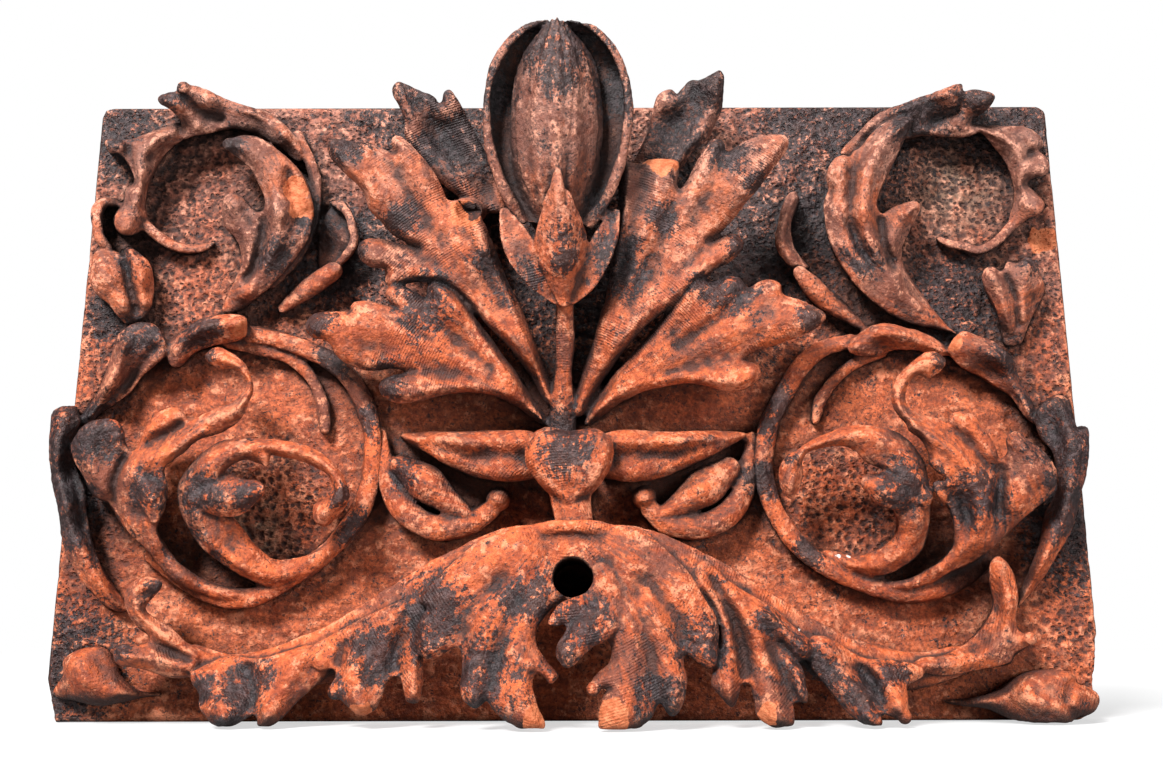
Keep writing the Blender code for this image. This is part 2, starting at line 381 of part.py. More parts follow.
      (272, 172, 58), (247, 169, 58), (237, 151, 60), (227, 185, 60), (219, 207, 62), (226, 226, 62),
      (244, 230, 60)],
     [(5, 7, [(223, 183), (244, 172), (257, 157), (263, 140), (262, 123), (248, 105)]),
      (-7, 4, [(277, 161), (276, 146), (272, 129)]),
      (4, 7, [(294, 175), (297, 157), (284, 135)]),
      (-5, 5, [(245, 185), (257, 175), (268, 160)]),
      (-5, 5, [(233, 146), (245, 141), (252, 129), (252, 115)]),
      (3, 4, [(222, 187), (214, 199), (216, 214), (229, 226), (242, 230)])]),
    (4, [(159, 104), (169, 95), (181, 89), (196, 89), (208, 94), (220, 103), (226, 114), (229, 129),
         (230, 144), (229, 157), (226, 166), (219, 176), (208, 183), (194, 186), (180, 186), (168, 182),
         (155, 176), (145, 169), (139, 166), (134, 159), (133, 149), (136, 142), (140, 138), (146, 145),
         (149, 154), (148, 162), (153, 169), (166, 172), (176, 172), (184, 169), (190, 162), (199, 158),
         (206, 154), (208, 145), (206, 132), (208, 122), (204, 112), (194, 105), (179, 101), (167, 104)],
     [(164, 101, 18), (181, 93, 22), (199, 93, 28), (215, 105, 34), (200, 109, 34), (226, 129, 44),
      (211, 129, 48), (228, 154, 52), (212, 151, 60), (216, 172, 56), (195, 176, 60), (174, 177, 58),
      (150, 168, 54), (140, 148, 52)],
     [(4, 6, [(178, 95), (200, 97), (216, 114), (221, 135), (220, 157), (207, 172), (186, 180),
               (167, 176), (150, 168)]),
      (4, 5, [(141, 160), (140, 145)])]),
    # Leaves on the outside of both rings, and leaves that follow the panel's outer edges.
    (3, [(-324, 191), (-314, 210), (-309, 226), (-306, 238), (-304, 249), (-296, 256), (-286, 257),
         (-278, 253), (-272, 243), (-272, 235), (-279, 228), (-286, 220), (-292, 210), (-301, 202),
         (-311, 195), (-318, 188)],
     [(-321, 192, 14), (-308, 218, 28), (-299, 253, 34), (-277, 249, 34), (-273, 235, 28),
      (-293, 213, 16), (-311, 196, 12)],
     [(5, 5, [(-319, 195), (-305, 219), (-300, 245)]),
      (-5, 4, [(-280, 238), (-290, 223), (-303, 204)])]),
    (4, [(-271, 241), (-265, 248), (-259, 253), (-250, 259), (-238, 262), (-226, 263), (-219, 260),
         (-218, 252), (-220, 247), (-231, 243), (-243, 240), (-252, 236), (-260, 228), (-266, 227),
         (-270, 233)],
     [(-269, 235, 26), (-250, 256, 36), (-227, 260, 34), (-221, 249, 26), (-249, 238, 20)],
     [(4, 6, [(-267, 238), (-253, 251), (-235, 256), (-222, 256)])]),
    (4, [(182, 240), (190, 248), (200, 254), (212, 255), (225, 252), (237, 247), (250, 237), (247, 233),
         (236, 235), (227, 237), (214, 237), (202, 233), (192, 233), (184, 235)],
     [(186, 239, 22), (212, 251, 34), (246, 236, 24), (205, 235, 18)],
     [(4, 6, [(186, 241), (206, 249), (228, 246), (246, 236)])]),
    (3, [(250, 241), (259, 250), (269, 247), (281, 241), (291, 231), (295, 218), (301, 202), (303, 188),
         (297, 191), (289, 204), (278, 212), (267, 220), (256, 226), (250, 233)],
     [(252, 238, 28), (261, 247, 32), (284, 238, 34), (301, 194, 20), (274, 217, 16), (290, 204, 14)],
     [(4, 6, [(252, 239), (271, 237), (286, 223), (299, 197)])]),
    (3, [(-343, 196), (-337, 200), (-329, 198), (-324, 190), (-328, 181), (-328, 172), (-322, 155),
         (-317, 144), (-314, 128), (-307, 107), (-298, 90), (-285, 74), (-282, 68), (-291, 68),
         (-301, 74), (-313, 87), (-323, 102), (-330, 119), (-335, 137), (-340, 152), (-344, 170),
         (-344, 185)],
     [(-335, 197, 34), (-341, 172, 34), (-325, 155, 22), (-331, 134, 32), (-313, 127, 18),
      (-322, 107, 28), (-307, 93, 22), (-287, 70, 14)],
     [(5, 5, [(-336, 195), (-337, 167), (-327, 131), (-314, 102), (-291, 73)]),
      (-4, 3, [(-329, 176), (-322, 149), (-315, 122)])]),
    (3, [(306, 198), (318, 206), (326, 202), (330, 184), (337, 185), (337, 175), (334, 157), (330, 146),
         (325, 134), (319, 117), (309, 102), (298, 87), (285, 72), (280, 70), (283, 79), (291, 94),
         (299, 114), (304, 129), (311, 141), (313, 154), (312, 168), (305, 177), (303, 188)],
     [(323, 202, 28), (334, 175, 38), (308, 182, 24), (325, 150, 34), (305, 132, 20), (319, 129, 32),
      (306, 106, 26), (284, 74, 14)],
     [(5, 6, [(319, 201), (325, 175), (322, 150), (316, 129), (304, 105), (287, 78)])]),
    # Upper left scroll: leaf along the top, leaf down the side, main leaf, tulip and crescent.
    (3, [(-202, 383), (-191, 373), (-184, 379), (-195, 393), (-208, 405), (-221, 412), (-235, 417),
         (-248, 422), (-258, 427), (-266, 430), (-277, 431), (-276, 426), (-285, 425), (-291, 421),
         (-289, 416), (-281, 411), (-274, 403), (-273, 394), (-272, 390), (-264, 392), (-254, 394),
         (-243, 397), (-234, 398), (-220, 394), (-210, 388)],
     [(-191, 378, 16), (-209, 398, 28), (-229, 412, 38), (-256, 424, 42), (-275, 428, 48),
      (-288, 420, 46), (-272, 394, 26), (-254, 397, 26), (-234, 400, 30), (-215, 393, 24)],
     [(3, 4, [(-190, 383), (-208, 401), (-229, 414), (-253, 423)]),
      (-5, 4, [(-278, 425), (-263, 413), (-247, 405)]),
      (3, 5, [(-288, 419), (-273, 408), (-262, 401)])]),
    (3, [(-273, 390), (-274, 399), (-278, 402), (-288, 397), (-296, 394), (-305, 390), (-314, 389),
         (-324, 389), (-325, 385), (-321, 379), (-315, 379), (-309, 372), (-304, 363), (-303, 357),
         (-308, 352), (-309, 342), (-314, 334), (-314, 328), (-310, 321), (-303, 319), (-296, 321),
         (-293, 325), (-288, 325), (-293, 338), (-293, 352), (-291, 363), (-285, 375), (-278, 385)],
     [(-275, 394, 26), (-292, 389, 32), (-322, 386, 36), (-301, 368, 28), (-301, 346, 28),
      (-305, 329, 36), (-290, 327, 16), (-292, 352, 16), (-281, 379, 18)],
     [(5, 5, [(-277, 399), (-290, 390), (-300, 376), (-299, 360), (-300, 344)]),
      (-4, 3, [(-311, 389), (-307, 376), (-303, 360)])]),
    (3, [(-236, 265), (-229, 286), (-225, 298), (-227, 311), (-232, 319), (-238, 326), (-240, 338),
         (-240, 346), (-234, 349), (-226, 345), (-220, 338), (-215, 335), (-212, 338), (-212, 346),
         (-218, 359), (-224, 369), (-235, 378), (-243, 386), (-234, 391), (-222, 391), (-212, 386),
         (-203, 379), (-195, 372), (-188, 364), (-182, 352), (-178, 339), (-178, 327), (-181, 315),
         (-189, 303), (-198, 290), (-213, 274), (-225, 265)],
     [(-231, 266, 14), (-215, 285, 24), (-194, 303, 30), (-204, 311, 38), (-181, 330, 34),
      (-202, 338, 46), (-188, 349, 38), (-206, 372, 44), (-223, 386, 46), (-238, 386, 46),
      (-235, 346, 40), (-229, 325, 32), (-223, 305, 28)],
     [(5, 6, [(-237, 387), (-219, 378), (-207, 361), (-203, 341), (-202, 318), (-210, 297), (-223, 276)]),
      (-7, 4, [(-213, 339), (-211, 325), (-213, 306), (-221, 288)]),
      (4, 5, [(-236, 345), (-228, 329), (-221, 313), (-221, 299)]),
      (-4, 4, [(-197, 365), (-193, 346), (-187, 330)])]),
    (3, [(-324, 307), (-317, 308), (-309, 306), (-305, 303), (-304, 309), (-301, 310), (-295, 306),
         (-288, 300), (-284, 290), (-283, 279), (-284, 268), (-289, 259), (-299, 256), (-305, 261),
         (-312, 270), (-321, 277), (-326, 286), (-326, 297)],
     [(-297, 258, 14), (-304, 272, 24), (-319, 292, 32), (-310, 304, 28), (-294, 288, 28),
      (-300, 307, 30), (-284, 282, 14)],
     [(-6, 3, [(-305, 303), (-301, 288), (-294, 267)]),
      (3, 5, [(-320, 301), (-312, 283), (-300, 264)]),
      (3, 4, [(-300, 307), (-292, 290), (-289, 272)])]),
    (2, [(-168, 342), (-162, 344), (-158, 343), (-152, 335), (-148, 324), (-147, 315), (-150, 306),
         (-159, 296), (-162, 298), (-156, 307), (-152, 315), (-154, 324), (-158, 334)],
     [(-164, 342, 22), (-151, 324, 28), (-150, 311, 26), (-160, 297, 20)]),
    (2, [(-166, 339), (-158, 333), (-154, 324), (-152, 315), (-156, 307), (-162, 298), (-172, 294),
         (-174, 311), (-172, 327)],
     [(-164, 335, 12), (-154, 318, 16), (-169, 311, 5), (-171, 295, 8)]),
    # Upper right scroll: leaf along the top, leaf down the side, main leaf, crescent and tulip.
    (3, [(184, 379), (194, 390), (206, 403), (218, 411), (230, 416), (245, 422), (259, 427), (271, 431),
         (273, 429), (273, 424), (279, 426), (288, 425), (295, 421), (293, 416), (286, 409), (278, 404),
         (277, 399), (282, 394), (270, 390), (256, 390), (243, 391), (232, 389), (221, 386), (210, 380),
         (200, 376), (189, 375)],
     [(186, 379, 12), (209, 402, 26), (231, 414, 36), (267, 427, 46), (291, 421, 46), (278, 399, 26),
      (256, 392, 24), (232, 390, 22), (205, 380, 16)],
     [(3, 4, [(192, 388), (212, 405), (237, 416), (259, 425)]),
      (-5, 4, [(273, 423), (266, 411), (250, 402)]),
      (3, 5, [(291, 420), (279, 409), (264, 399)])]),
    (3, [(282, 394), (277, 399), (288, 398), (301, 398), (314, 397), (322, 392), (325, 384), (322, 380),
         (327, 373), (328, 366), (323, 361), (316, 359), (312, 355), (317, 349), (322, 341), (319, 334),
         (310, 330), (302, 323), (295, 322), (300, 338), (302, 353), (299, 369), (293, 380), (286, 390)],
     [(281, 396, 26), (300, 390, 28), (320, 390, 36), (325, 367, 34), (311, 373, 28), (308, 353, 24),
      (319, 339, 30), (297, 325, 16), (301, 348, 14), (295, 373, 16)],
     [(5, 5, [(282, 396), (299, 390), (308, 376), (308, 359), (308, 342)]),
      (-4, 3, [(321, 379), (314, 376), (306, 367)]),
      (-4, 3, [(312, 355), (306, 350)])]),
    (3, [(256, 248), (241, 252), (229, 254), (219, 257), (209, 264), (196, 275), (187, 287), (180, 299),
         (174, 313), (172, 328), (172, 342), (175, 351), (174, 359), (176, 368), (181, 375), (187, 377),
         (191, 375), (193, 369), (192, 378), (199, 383), (207, 392), (216, 400), (225, 405), (236, 405),
         (235, 398), (230, 389), (225, 379), (220, 370), (216, 362), (212, 353), (208, 342), (210, 334),
         (218, 338), (227, 341), (234, 342), (237, 338), (232, 328), (228, 320), (223, 309), (223, 298),
         (226, 289), (232, 278), (240, 266), (250, 253)],
     [(253, 251, 12), (229, 260, 18), (209, 275, 26), (189, 295, 30), (178, 317, 34), (175, 342, 36),
      (186, 373, 44), (198, 365, 44), (211, 386, 46), (232, 402, 50), (197, 337, 46), (204, 317, 40),
      (232, 339, 42), (220, 320, 34), (218, 295, 26), (232, 272, 18)],
     [(3, 5, [(186, 375), (183, 354), (182, 326), (193, 299), (210, 278)]),
      (6, 6, [(232, 402), (216, 388), (204, 366), (198, 342), (200, 317), (212, 291), (229, 267)]),
      (4, 5, [(233, 340), (220, 325), (215, 308), (219, 291)]),
      (-5, 4, [(193, 370), (191, 348), (190, 326), (198, 304)]),
      (-7, 4, [(209, 335), (209, 317), (216, 295)])]),
    (2, [(149, 349), (154, 345), (152, 337), (149, 328), (148, 319), (150, 308), (155, 300), (159, 295),
         (150, 294), (142, 301), (137, 312), (139, 326), (142, 337)],
     [(151, 347, 22), (142, 323, 28), (144, 306, 26), (155, 296, 22), (147, 320, 20)],
     [(3, 3, [(151, 345), (142, 326), (142, 306), (154, 295)])]),
    (3, [(286, 241), (285, 255), (282, 267), (277, 278), (275, 287), (278, 294), (284, 295), (289, 292),
         (293, 299), (300, 298), (306, 302), (313, 297), (314, 290), (317, 281), (314, 272), (307, 260),
         (301, 248), (297, 241)],
     [(292, 243, 12), (289, 269, 28), (281, 290, 32), (301, 292, 28), (312, 284, 26), (312, 271, 14),
      (301, 259, 18)],
     [(-5, 3, [(290, 292), (295, 276), (297, 255)]),
      (4, 4, [(282, 291), (288, 273), (290, 252)]),
      (4, 4, [(307, 298), (304, 279), (300, 260)])]),
]

# Knobs: (across, up, out to the top, half width, half height).
KNOBS = [
    (-49, 138, 34, 8, 8),
    (45, 139, 34, 8, 8),
    (-72, 336, 72, 13, 10),
    (0, 89, 76, 30, 26),
    (-12, 400, 92, 36, 44),
]


def place(across, up, out):
    """Take a drawn point back to its real place on the block."""
    nearer = 1.0 - out / EYE_OUT
    x = (EYE_ACROSS + (across - EYE_ACROSS) * nearer) * BLOCK_WIDTH / DRAWN_WIDTH
    z = (EYE_UP + (up - EYE_UP) * nearer) * BLOCK_HEIGHT / DRAWN_HEIGHT
    y = GROUND_Y - out * RELIEF_HEIGHT / DRAWN_RELIEF
    x = min(max(x, EDGE_MARGIN - BLOCK_WIDTH / 2), BLOCK_WIDTH / 2 - EDGE_MARGIN)
    z = min(max(z, EDGE_MARGIN), BLOCK_HEIGHT - EDGE_MARGIN)
    return Vector((x, y, z))


def back_of(out, rooted=False):
    """How far out the back of a leaf is where its front stands out by this much."""
    unit = RELIEF_HEIGHT / DRAWN_RELIEF
    if rooted:
        return -ROOT_DEPTH / unit
    lifted = -ROOT_DEPTH / unit + max(0.0, out - FREE_FROM) * LIFT
    return min(out - LEAF_THICKNESS / unit, lifted)


def freedom(out):
    """How free of the ground a leaf is where its front stands out by this much, from 0 to 1."""
    return min(1.0, max(0.0, (out - FREE_FROM) / FREE_OVER))


def smooth_curve(points, steps, closed=False):
    """Points along a Catmull-Rom curve through the given ones."""
    pts = np.array(points, dtype=float)
    count = len(pts)
    spans = count if closed else count - 1
    result = []
    for i in range(spans):
        if closed:
            p0, p1, p2, p3 = pts[i - 1], pts[i], pts[(i + 1) % count], pts[(i + 2) % count]
        else:
            p0, p1 = pts[max(i - 1, 0)], pts[i]
            p2, p3 = pts[i + 1], pts[min(i + 2, count - 1)]
        for k in range(steps):
            t = k / steps
            result.append(0.5 * (2 * p1 + (p2 - p0) * t + (2 * p0 - 5 * p1 + 4 * p2 - p3) * t * t
                                 + (3 * p1 - p0 - 3 * p2 + p3) * t ** 3))
    if not closed:
        result.append(pts[-1])
    return np.array(result)


def rounded(end, way, turn, side):
    """A station of a ribbon: turned by so many degrees into the round end beyond its last one."""
    lead = side * math.sin(math.radians(turn)) * end[3]
    return end[:2] + way * lead, way, end[2], math.cos(math.radians(turn)) * end[3]


def add_ribbon(bm, kind, points, steps=3, across=7):
    """A tapering strip along a line of points, domed or cupped, with rounded ends."""
    line = smooth_curve(points, steps)
    heading = np.gradient(line[:, :2], axis=0)
    heading /= np.linalg.norm(heading, axis=1)[:, None]
    stations = [rounded(line[0], heading[0], turn, -1) for turn in ROUND_TURNS[::-1]]
    stations += [rounded(row, way, 0, 1) for row, way in zip(line, heading)]
    stations += [rounded(line[-1], heading[-1], turn, 1) for turn in ROUND_TURNS]
    unit = RELIEF_HEIGHT / DRAWN_RELIEF
    shares = [2 * k / (across - 1) - 1 for k in range(across)]
    rings = []
    for middle, way, out, half in stations:
        front = []
        back = []
        for s in shares:
            at = middle + np.array((-way[1], way[0])) * half * s
            top = out - CROWN[kind] * half * s * s
            rim = LEAF_RIM / unit
            depth = out - back_of(out, kind in ROOTED) - rim
            freed = 0.0 if kind in ROOTED else freedom(out)
            under = top - rim - max(0.0, depth) * (1 - freed * s * s)
            front.append(bm.verts.new(place(at[0], at[1], top)))
            back.append(bm.verts.new(place(at[0], at[1], under)))
        rings.append(front + back[::-1])
    for a, b in zip(rings, rings[1:]):
        for k in range(len(a)):
            nxt = (k + 1) % len(a)
            bm.faces.new((a[k], a[nxt], b[nxt], b[k]))
    bm.faces.new(rings[0][::-1])
    bm.faces.new(rings[-1])


def inside(points, outline):
    """Which points lie inside a closed outline."""
    x, y = points[:, 0], points[:, 1]
    hit = np.zeros(len(points), dtype=bool)
    for (x0, y0), (x1, y1) in zip(outline, np.roll(outline, -1, axis=0)):
        cross = (y0 > y) != (y1 > y)
        reach = np.where(cross, (x1 - x0) * (y - y0) / (y1 - y0 if y1 != y0 else 1e-9) + x0, -1e9)
        hit ^= cross & (x < reach)
    return hit


def line_distance(points, line, closed=False):
    """Distance from each point to a line of points."""
    best = np.full(len(points), 1e9)
    ends = np.roll(line, -1, axis=0) if closed else line[1:]
    for a, b in zip(line, ends):
        span = b - a
        share = np.clip(((points - a) @ span) / max(span @ span, 1e-9), 0, 1)
        best = np.minimum(best, np.linalg.norm(points - a - share[:, None] * span, axis=1))
    return best


def height_at(points, heights):
    """Smooth height at each point from a few known heights."""
    known = np.array(heights, dtype=float)
    gap = np.linalg.norm(points[:, None, :] - known[None, :, :2], axis=2)
    weight = 1.0 / (gap ** 2 + 60.0) ** 1.5
    return (weight * known[:, 2]).sum(axis=1) / weight.sum(axis=1)


def tips_of(outline):
    """The sharp outward corners of a closed outline, each with the way in from it."""
    pts = np.array(outline, dtype=float)
    before, after = np.roll(pts, 1, axis=0) - pts, np.roll(pts, -1, axis=0) - pts
    area = np.sum(pts[:, 0] * np.roll(pts[:, 1], -1) - pts[:, 1] * np.roll(pts[:, 0], -1))
    turn = (before[:, 1] * after[:, 0] - before[:, 0] * after[:, 1]) * area
    before /= np.linalg.norm(before, axis=1)[:, None]
    after /= np.linalg.norm(after, axis=1)[:, None]
    sharp = ((before * after).sum(axis=1) > TIP_SHARPNESS) & (turn > 0)
    way = before[sharp] + after[sharp]
    return pts[sharp], way / np.linalg.norm(way, axis=1)[:, None]


def add_lump(bm, across, up, middle, half_width, half_height, reach, rows=8, columns=12):
    """A round lump of clay about a point of the drawing."""
    rings = []
    for i in range(1, rows):
        lean = math.pi * i / rows - math.pi / 2
        ring = []
        for k in range(columns):
            turn = 2 * math.pi * k / columns
            ring.append(bm.verts.new(place(
                across + half_width * math.cos(lean) * math.cos(turn),
                up + half_height * math.cos(lean) * math.sin(turn),
                middle + reach * math.sin(lean))))
        rings.append(ring)
    for a, b in zip(rings, rings[1:]):
        for k in range(columns):
            nxt = (k + 1) % columns
            bm.faces.new((a[k], a[nxt], b[nxt], b[k]))
    bm.faces.new(rings[0][::-1])
    bm.faces.new(rings[-1])


def add_blade(bm, crown, outline, heights, ribs=(), steps=3, grid=4.5):
    """A leaf of a drawn outline, with its rim turned down and its back lifting off the ground."""
    edge = smooth_curve(outline, steps, closed=True)
    low, high = edge.min(axis=0), edge.max(axis=0)
    gx, gy = np.meshgrid(np.arange(low[0], high[0], grid), np.arange(low[1], high[1], grid))
    mesh_points = np.column_stack((gx.ravel(), gy.ravel()))
    mesh_points = mesh_points[inside(mesh_points, edge)]
    mesh_points = mesh_points[line_distance(mesh_points, edge, True) > 0.4 * grid]
    everything = np.vstack((edge, mesh_points))
    count = len(edge)
    loops = [(i, (i + 1) % count) for i in range(count)]
    verts, edges, faces, *_ = delaunay_2d_cdt(
        [Vector(p) for p in everything], loops, [list(range(count))], 1, 1e-5)
    flat = np.array([tuple(v) for v in verts])
    distance = line_distance(flat, edge, True)
    roll = np.clip(1 - distance / RIM_REACH, 0, 1)
    front = height_at(flat, heights) - crown * roll ** 2
    eased = np.clip(distance / RIB_EASE, 0, 1)
    for height, width, line in ribs:
        gap = line_distance(flat, smooth_curve(line, steps))
        front += height * eased * np.exp(-(gap / width) ** 2)
    unit = RELIEF_HEIGHT / DRAWN_RELIEF
    rim = LEAF_RIM / unit
    top_row = []
    low_row = []
    for (u, v), out, turned in zip(flat, front, roll):
        depth = out - back_of(out) - rim
        thinned = freedom(out) * (1 - math.sqrt(max(0.0, 1 - turned ** 2)))
        under = out - rim - max(0.0, depth) * (1 - thinned)
        top_row.append(bm.verts.new(place(u, v, out)))
        low_row.append(bm.verts.new(place(u, v, under)))
    border = {}
    for tri in faces:
        bm.faces.new([top_row[i] for i in tri])
        bm.faces.new([low_row[i] for i in reversed(tri)])
        for a, b in zip(tri, tri[1:] + tri[:1]):
            border[(a, b)] = True
    for a, b in list(border):
        if (b, a) not in border:
            bm.faces.new((top_row[b], top_row[a], low_row[a], low_row[b]))
    tips, ways = tips_of(outline)
    for tip, way in zip(tips, ways):
        u, v = tip + way * TIP_INSET
        out = float(height_at(np.array([(u, v)]), heights)[0])
        if out > FREE_FROM:
            add_lump(bm, u, v, out - TIP_RADIUS / 2, TIP_RADIUS, TIP_RADIUS, TIP_RADIUS, 5, 8)


def add_knob(bm, across, up, out, half_width, half_height):
    """A domed knob that stands on the ground."""
    reach = (out + ROOT_DEPTH * DRAWN_RELIEF / RELIEF_HEIGHT) / 2
    add_lump(bm, across, up, out - reach, half_width, half_height, reach)


def new_object(name, bm, material=None):
    """An object of a finished mesh, linked into the scene."""
    mesh = bpy.data.meshes.new(name)
    bm.to_mesh(mesh)
    bm.free()
    obj = bpy.data.objects.new(name, mesh)
    bpy.context.scene.collection.objects.link(obj)
    if material is not None:
        mesh.materials.append(material)
    return obj


def as_tool(obj):
    """Mark an object as one that only shapes another."""
    obj.hide_render = True
    obj.display_type = "WIRE"
    return obj


def terracotta():
    """Fired clay, orange under a worn dusty skin."""
    material = bpy.data.materials.new("terracotta")
    material.use_nodes = True
    shader = material.node_tree.nodes["Principled BSDF"]
    shader.inputs["Base Color"].default_value = (0.46, 0.17, 0.09, 1.0)
    shader.inputs["Roughness"].default_value = 0.85
    shader.inputs["Metallic"].default_value = 0.0
    return material


def make_block(material):
    """The squared block, with its front corners worn back to square over WEAR_DEPTH."""
    w, h = BLOCK_WIDTH / 2, BLOCK_HEIGHT
    right_in, right_down = TOP_RIGHT_WEAR
    left_in, left_down = TOP_LEFT_WEAR
    worn = [(LOW_LEFT_WEAR - w, 0.0)] + [(w - inward, up) for inward, up in LOW_RIGHT_WEAR]
    worn += [(w, h - right_down), (w - right_in, h), (left_in - w, h), (-w, h - left_down),
             (-w, LEFT_WEAR_TOP)]
    square = [(-w, 0.0), (w - LOW_RIGHT_WEAR[0][0], 0.0), (w, 0.0)]
    square += [(w, up) for _, up in LOW_RIGHT_WEAR[2:]]
    square += [(w, h - right_down), (w, h), (-w, h), (-w, h - left_down), (-w, LEFT_WEAR_TOP)]
    bm = bmesh.new()
    rings = []
    for outline, y in ((worn, GROUND_Y), (square, GROUND_Y + WEAR_DEPTH),
                       (square, BLOCK_DEPTH / 2)):
        rings.append([bm.verts.new((x, y, z)) for x, z in outline])
    for a, b in zip(rings, rings[1:]):
        for k in range(len(a)):
            nxt = (k + 1) % len(a)
            bm.faces.new((a[k], b[k], b[nxt], a[nxt]))
    bm.faces.new(rings[0])
    bm.faces.new(rings[-1][::-1])
    bmesh.ops.triangulate(bm, faces=[f for f in bm.faces if len(f.verts) == 4])
    bmesh.ops.recalc_face_normals(bm, faces=bm.faces)
    return new_object("frieze_panel", bm, material)


def drop_crumbs(bm, fewest):
    """Remove the loose bits of a mesh that have fewer faces than this."""
    seen = set()
    doomed = []
    for start in bm.faces:
        if start in seen:
            continue
        seen.add(start)
        body = [start]
        for face in body:
            for edge in face.edges:
                for other in edge.link_faces:
                    if other not in seen:
                        seen.add(other)
                        body.append(other)
        if len(body) < fewest:
            doomed.extend(body)
    bmesh.ops.delete(bm, geom=doomed, context="FACES")


def baked(obj):
    """The object again, with its modifiers worked into its mesh and its crumbs removed."""
    graph = bpy.context.evaluated_depsgraph_get()
    bm = bmesh.new()
    bm.from_mesh(obj.evaluated_get(graph).to_mesh())
    drop_crumbs(bm, FEWEST_FACES)
    name = obj.name
    bpy.data.objects.remove(obj, do_unlink=True)
    return as_tool(new_object(name, bm))


def make_carving():
    """All of the ornament, run together into one skin and thinned to CARVING_TRIANGLES."""
    bm = bmesh.new()
    for kind, points in RIBBONS:
        add_ribbon(bm, kind, points)
    for blade in BLADES:
        add_blade(bm, *blade)
    for knob in KNOBS:
        add_knob(bm, *knob)
    carving = as_tool(new_object("carving", bm))
    skin = carving.modifiers.new("one skin", "REMESH")
    skin.mode = "VOXEL"
    skin.voxel_size = CARVING_CELL
    skin.adaptivity = 0.0
    ease = carving.modifiers.new("ease", "SMOOTH")
    ease.factor = 0.5
    ease.iterations = 2
    dense = carving.evaluated_get(bpy.context.evaluated_depsgraph_get()).to_mesh()
    triangles = sum(len(face.vertices) - 2 for face in dense.polygons)
    thin = carving.modifiers.new("thin", "DECIMATE")
    thin.ratio = min(1.0, CARVING_TRIANGLES / triangles)
    return baked(carving)


def make_hole():
    """The round blind hole through the middle of the hanging leaves."""
    bm = bmesh.new()
    bmesh.ops.create_cone(bm, cap_ends=True, segments=HOLE_SIDES, radius1=HOLE_RADIUS,
                          radius2=HOLE_RADIUS, depth=HOLE_DEPTH)
    hole = as_tool(new_object("hole", bm))
    hole.rotation_euler = (math.pi / 2, 0.0, 0.0)
    mouth = place(*HOLE_MOUTH)
    hole.location = (mouth.x, mouth.y - HOLE_LEAD + HOLE_DEPTH / 2, mouth.z)
    return hole


def cut(target, tool, operation):
    """Join a tool to the target, or cut it away."""
    step = target.modifiers.new(tool.name, "BOOLEAN")
    step.operation = operation
    step.solver = "EXACT"
    step.object = tool


def main():
    for obj in list(bpy.data.objects):
        bpy.data.objects.remove(obj, do_unlink=True)
    panel = make_block(terracotta())
    cut(panel, make_carving(), "UNION")
    cut(panel, make_hole(), "DIFFERENCE")


main()
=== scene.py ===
"""Looks of the terracotta frieze panel: its carved surface in full relief, its clay and its light.

The ornament is drawn on the panel in millimetres: across from the panel's middle, up from its
bottom edge and out from its ground.  Each group of it is run together into one skin, roughened
and coloured, and stands on the ground of the squared block.
"""
import math

import bmesh
import bpy
import numpy as np
from mathutils import Matrix, Vector
from mathutils.bvhtree import BVHTree
from mathutils.geometry import delaunay_2d_cdt


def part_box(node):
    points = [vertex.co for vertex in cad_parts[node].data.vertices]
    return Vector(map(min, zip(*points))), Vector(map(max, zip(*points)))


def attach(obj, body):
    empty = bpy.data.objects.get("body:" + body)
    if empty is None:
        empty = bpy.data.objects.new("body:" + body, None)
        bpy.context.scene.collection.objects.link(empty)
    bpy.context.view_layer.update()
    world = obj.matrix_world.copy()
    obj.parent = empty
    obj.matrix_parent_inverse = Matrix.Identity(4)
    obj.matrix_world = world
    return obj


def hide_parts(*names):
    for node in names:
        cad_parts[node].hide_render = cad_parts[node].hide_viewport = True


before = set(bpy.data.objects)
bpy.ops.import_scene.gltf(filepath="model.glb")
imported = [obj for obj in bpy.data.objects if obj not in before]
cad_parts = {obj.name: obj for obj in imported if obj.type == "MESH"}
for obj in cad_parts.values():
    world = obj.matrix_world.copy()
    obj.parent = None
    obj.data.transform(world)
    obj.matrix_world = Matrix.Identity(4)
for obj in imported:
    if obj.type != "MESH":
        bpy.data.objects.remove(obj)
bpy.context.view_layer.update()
NODE = "frieze_panel"
LOW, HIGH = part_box(NODE)

# The block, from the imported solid; its origin is the middle of its underside.
BLOCK_WIDTH = HIGH[0] - LOW[0]
BLOCK_HEIGHT = HIGH[2] - LOW[2]
BACK_Y = HIGH[1]
GROUND_Y = -BACK_Y
RELIEF_HEIGHT = GROUND_Y - LOW[1]

# Sizes of the clay in metres.
LEAF_THICKNESS = 0.015
LEAF_RIM = 0.0045
ROOT_DEPTH = 0.006
EDGE_MARGIN = 0.0012
HOLE_RADIUS = 0.0118
HOLE_DEPTH = 0.150
WEAR_DEPTH = 0.045
SKIN_CELL = 0.0012
GROUND_PITCH = 0.0013

# The drawing's own measures in millimetres, and the eye point that it was made from.
DRAWN_WIDTH = 660.0
DRAWN_HEIGHT = 414.0
DRAWN_RELIEF = 118.0
EYE_ACROSS = 4.9
EYE_UP = 45.0
EYE_OUT = 732.0

# A leaf lies on the ground up to FREE_FROM, lifts off it at LIFT beyond that, and is thin to
# its rim from FREE_OVER further out.
FREE_FROM = 36.0
FREE_OVER = 14.0
LIFT = 1.8

# How far in from its edge a leaf's rim turns down, how far in it is thin, and how far in its ribs
# come to full height.
TURN_REACH = 6.0
RIM_REACH = 9.0
RIB_EASE = 5.0

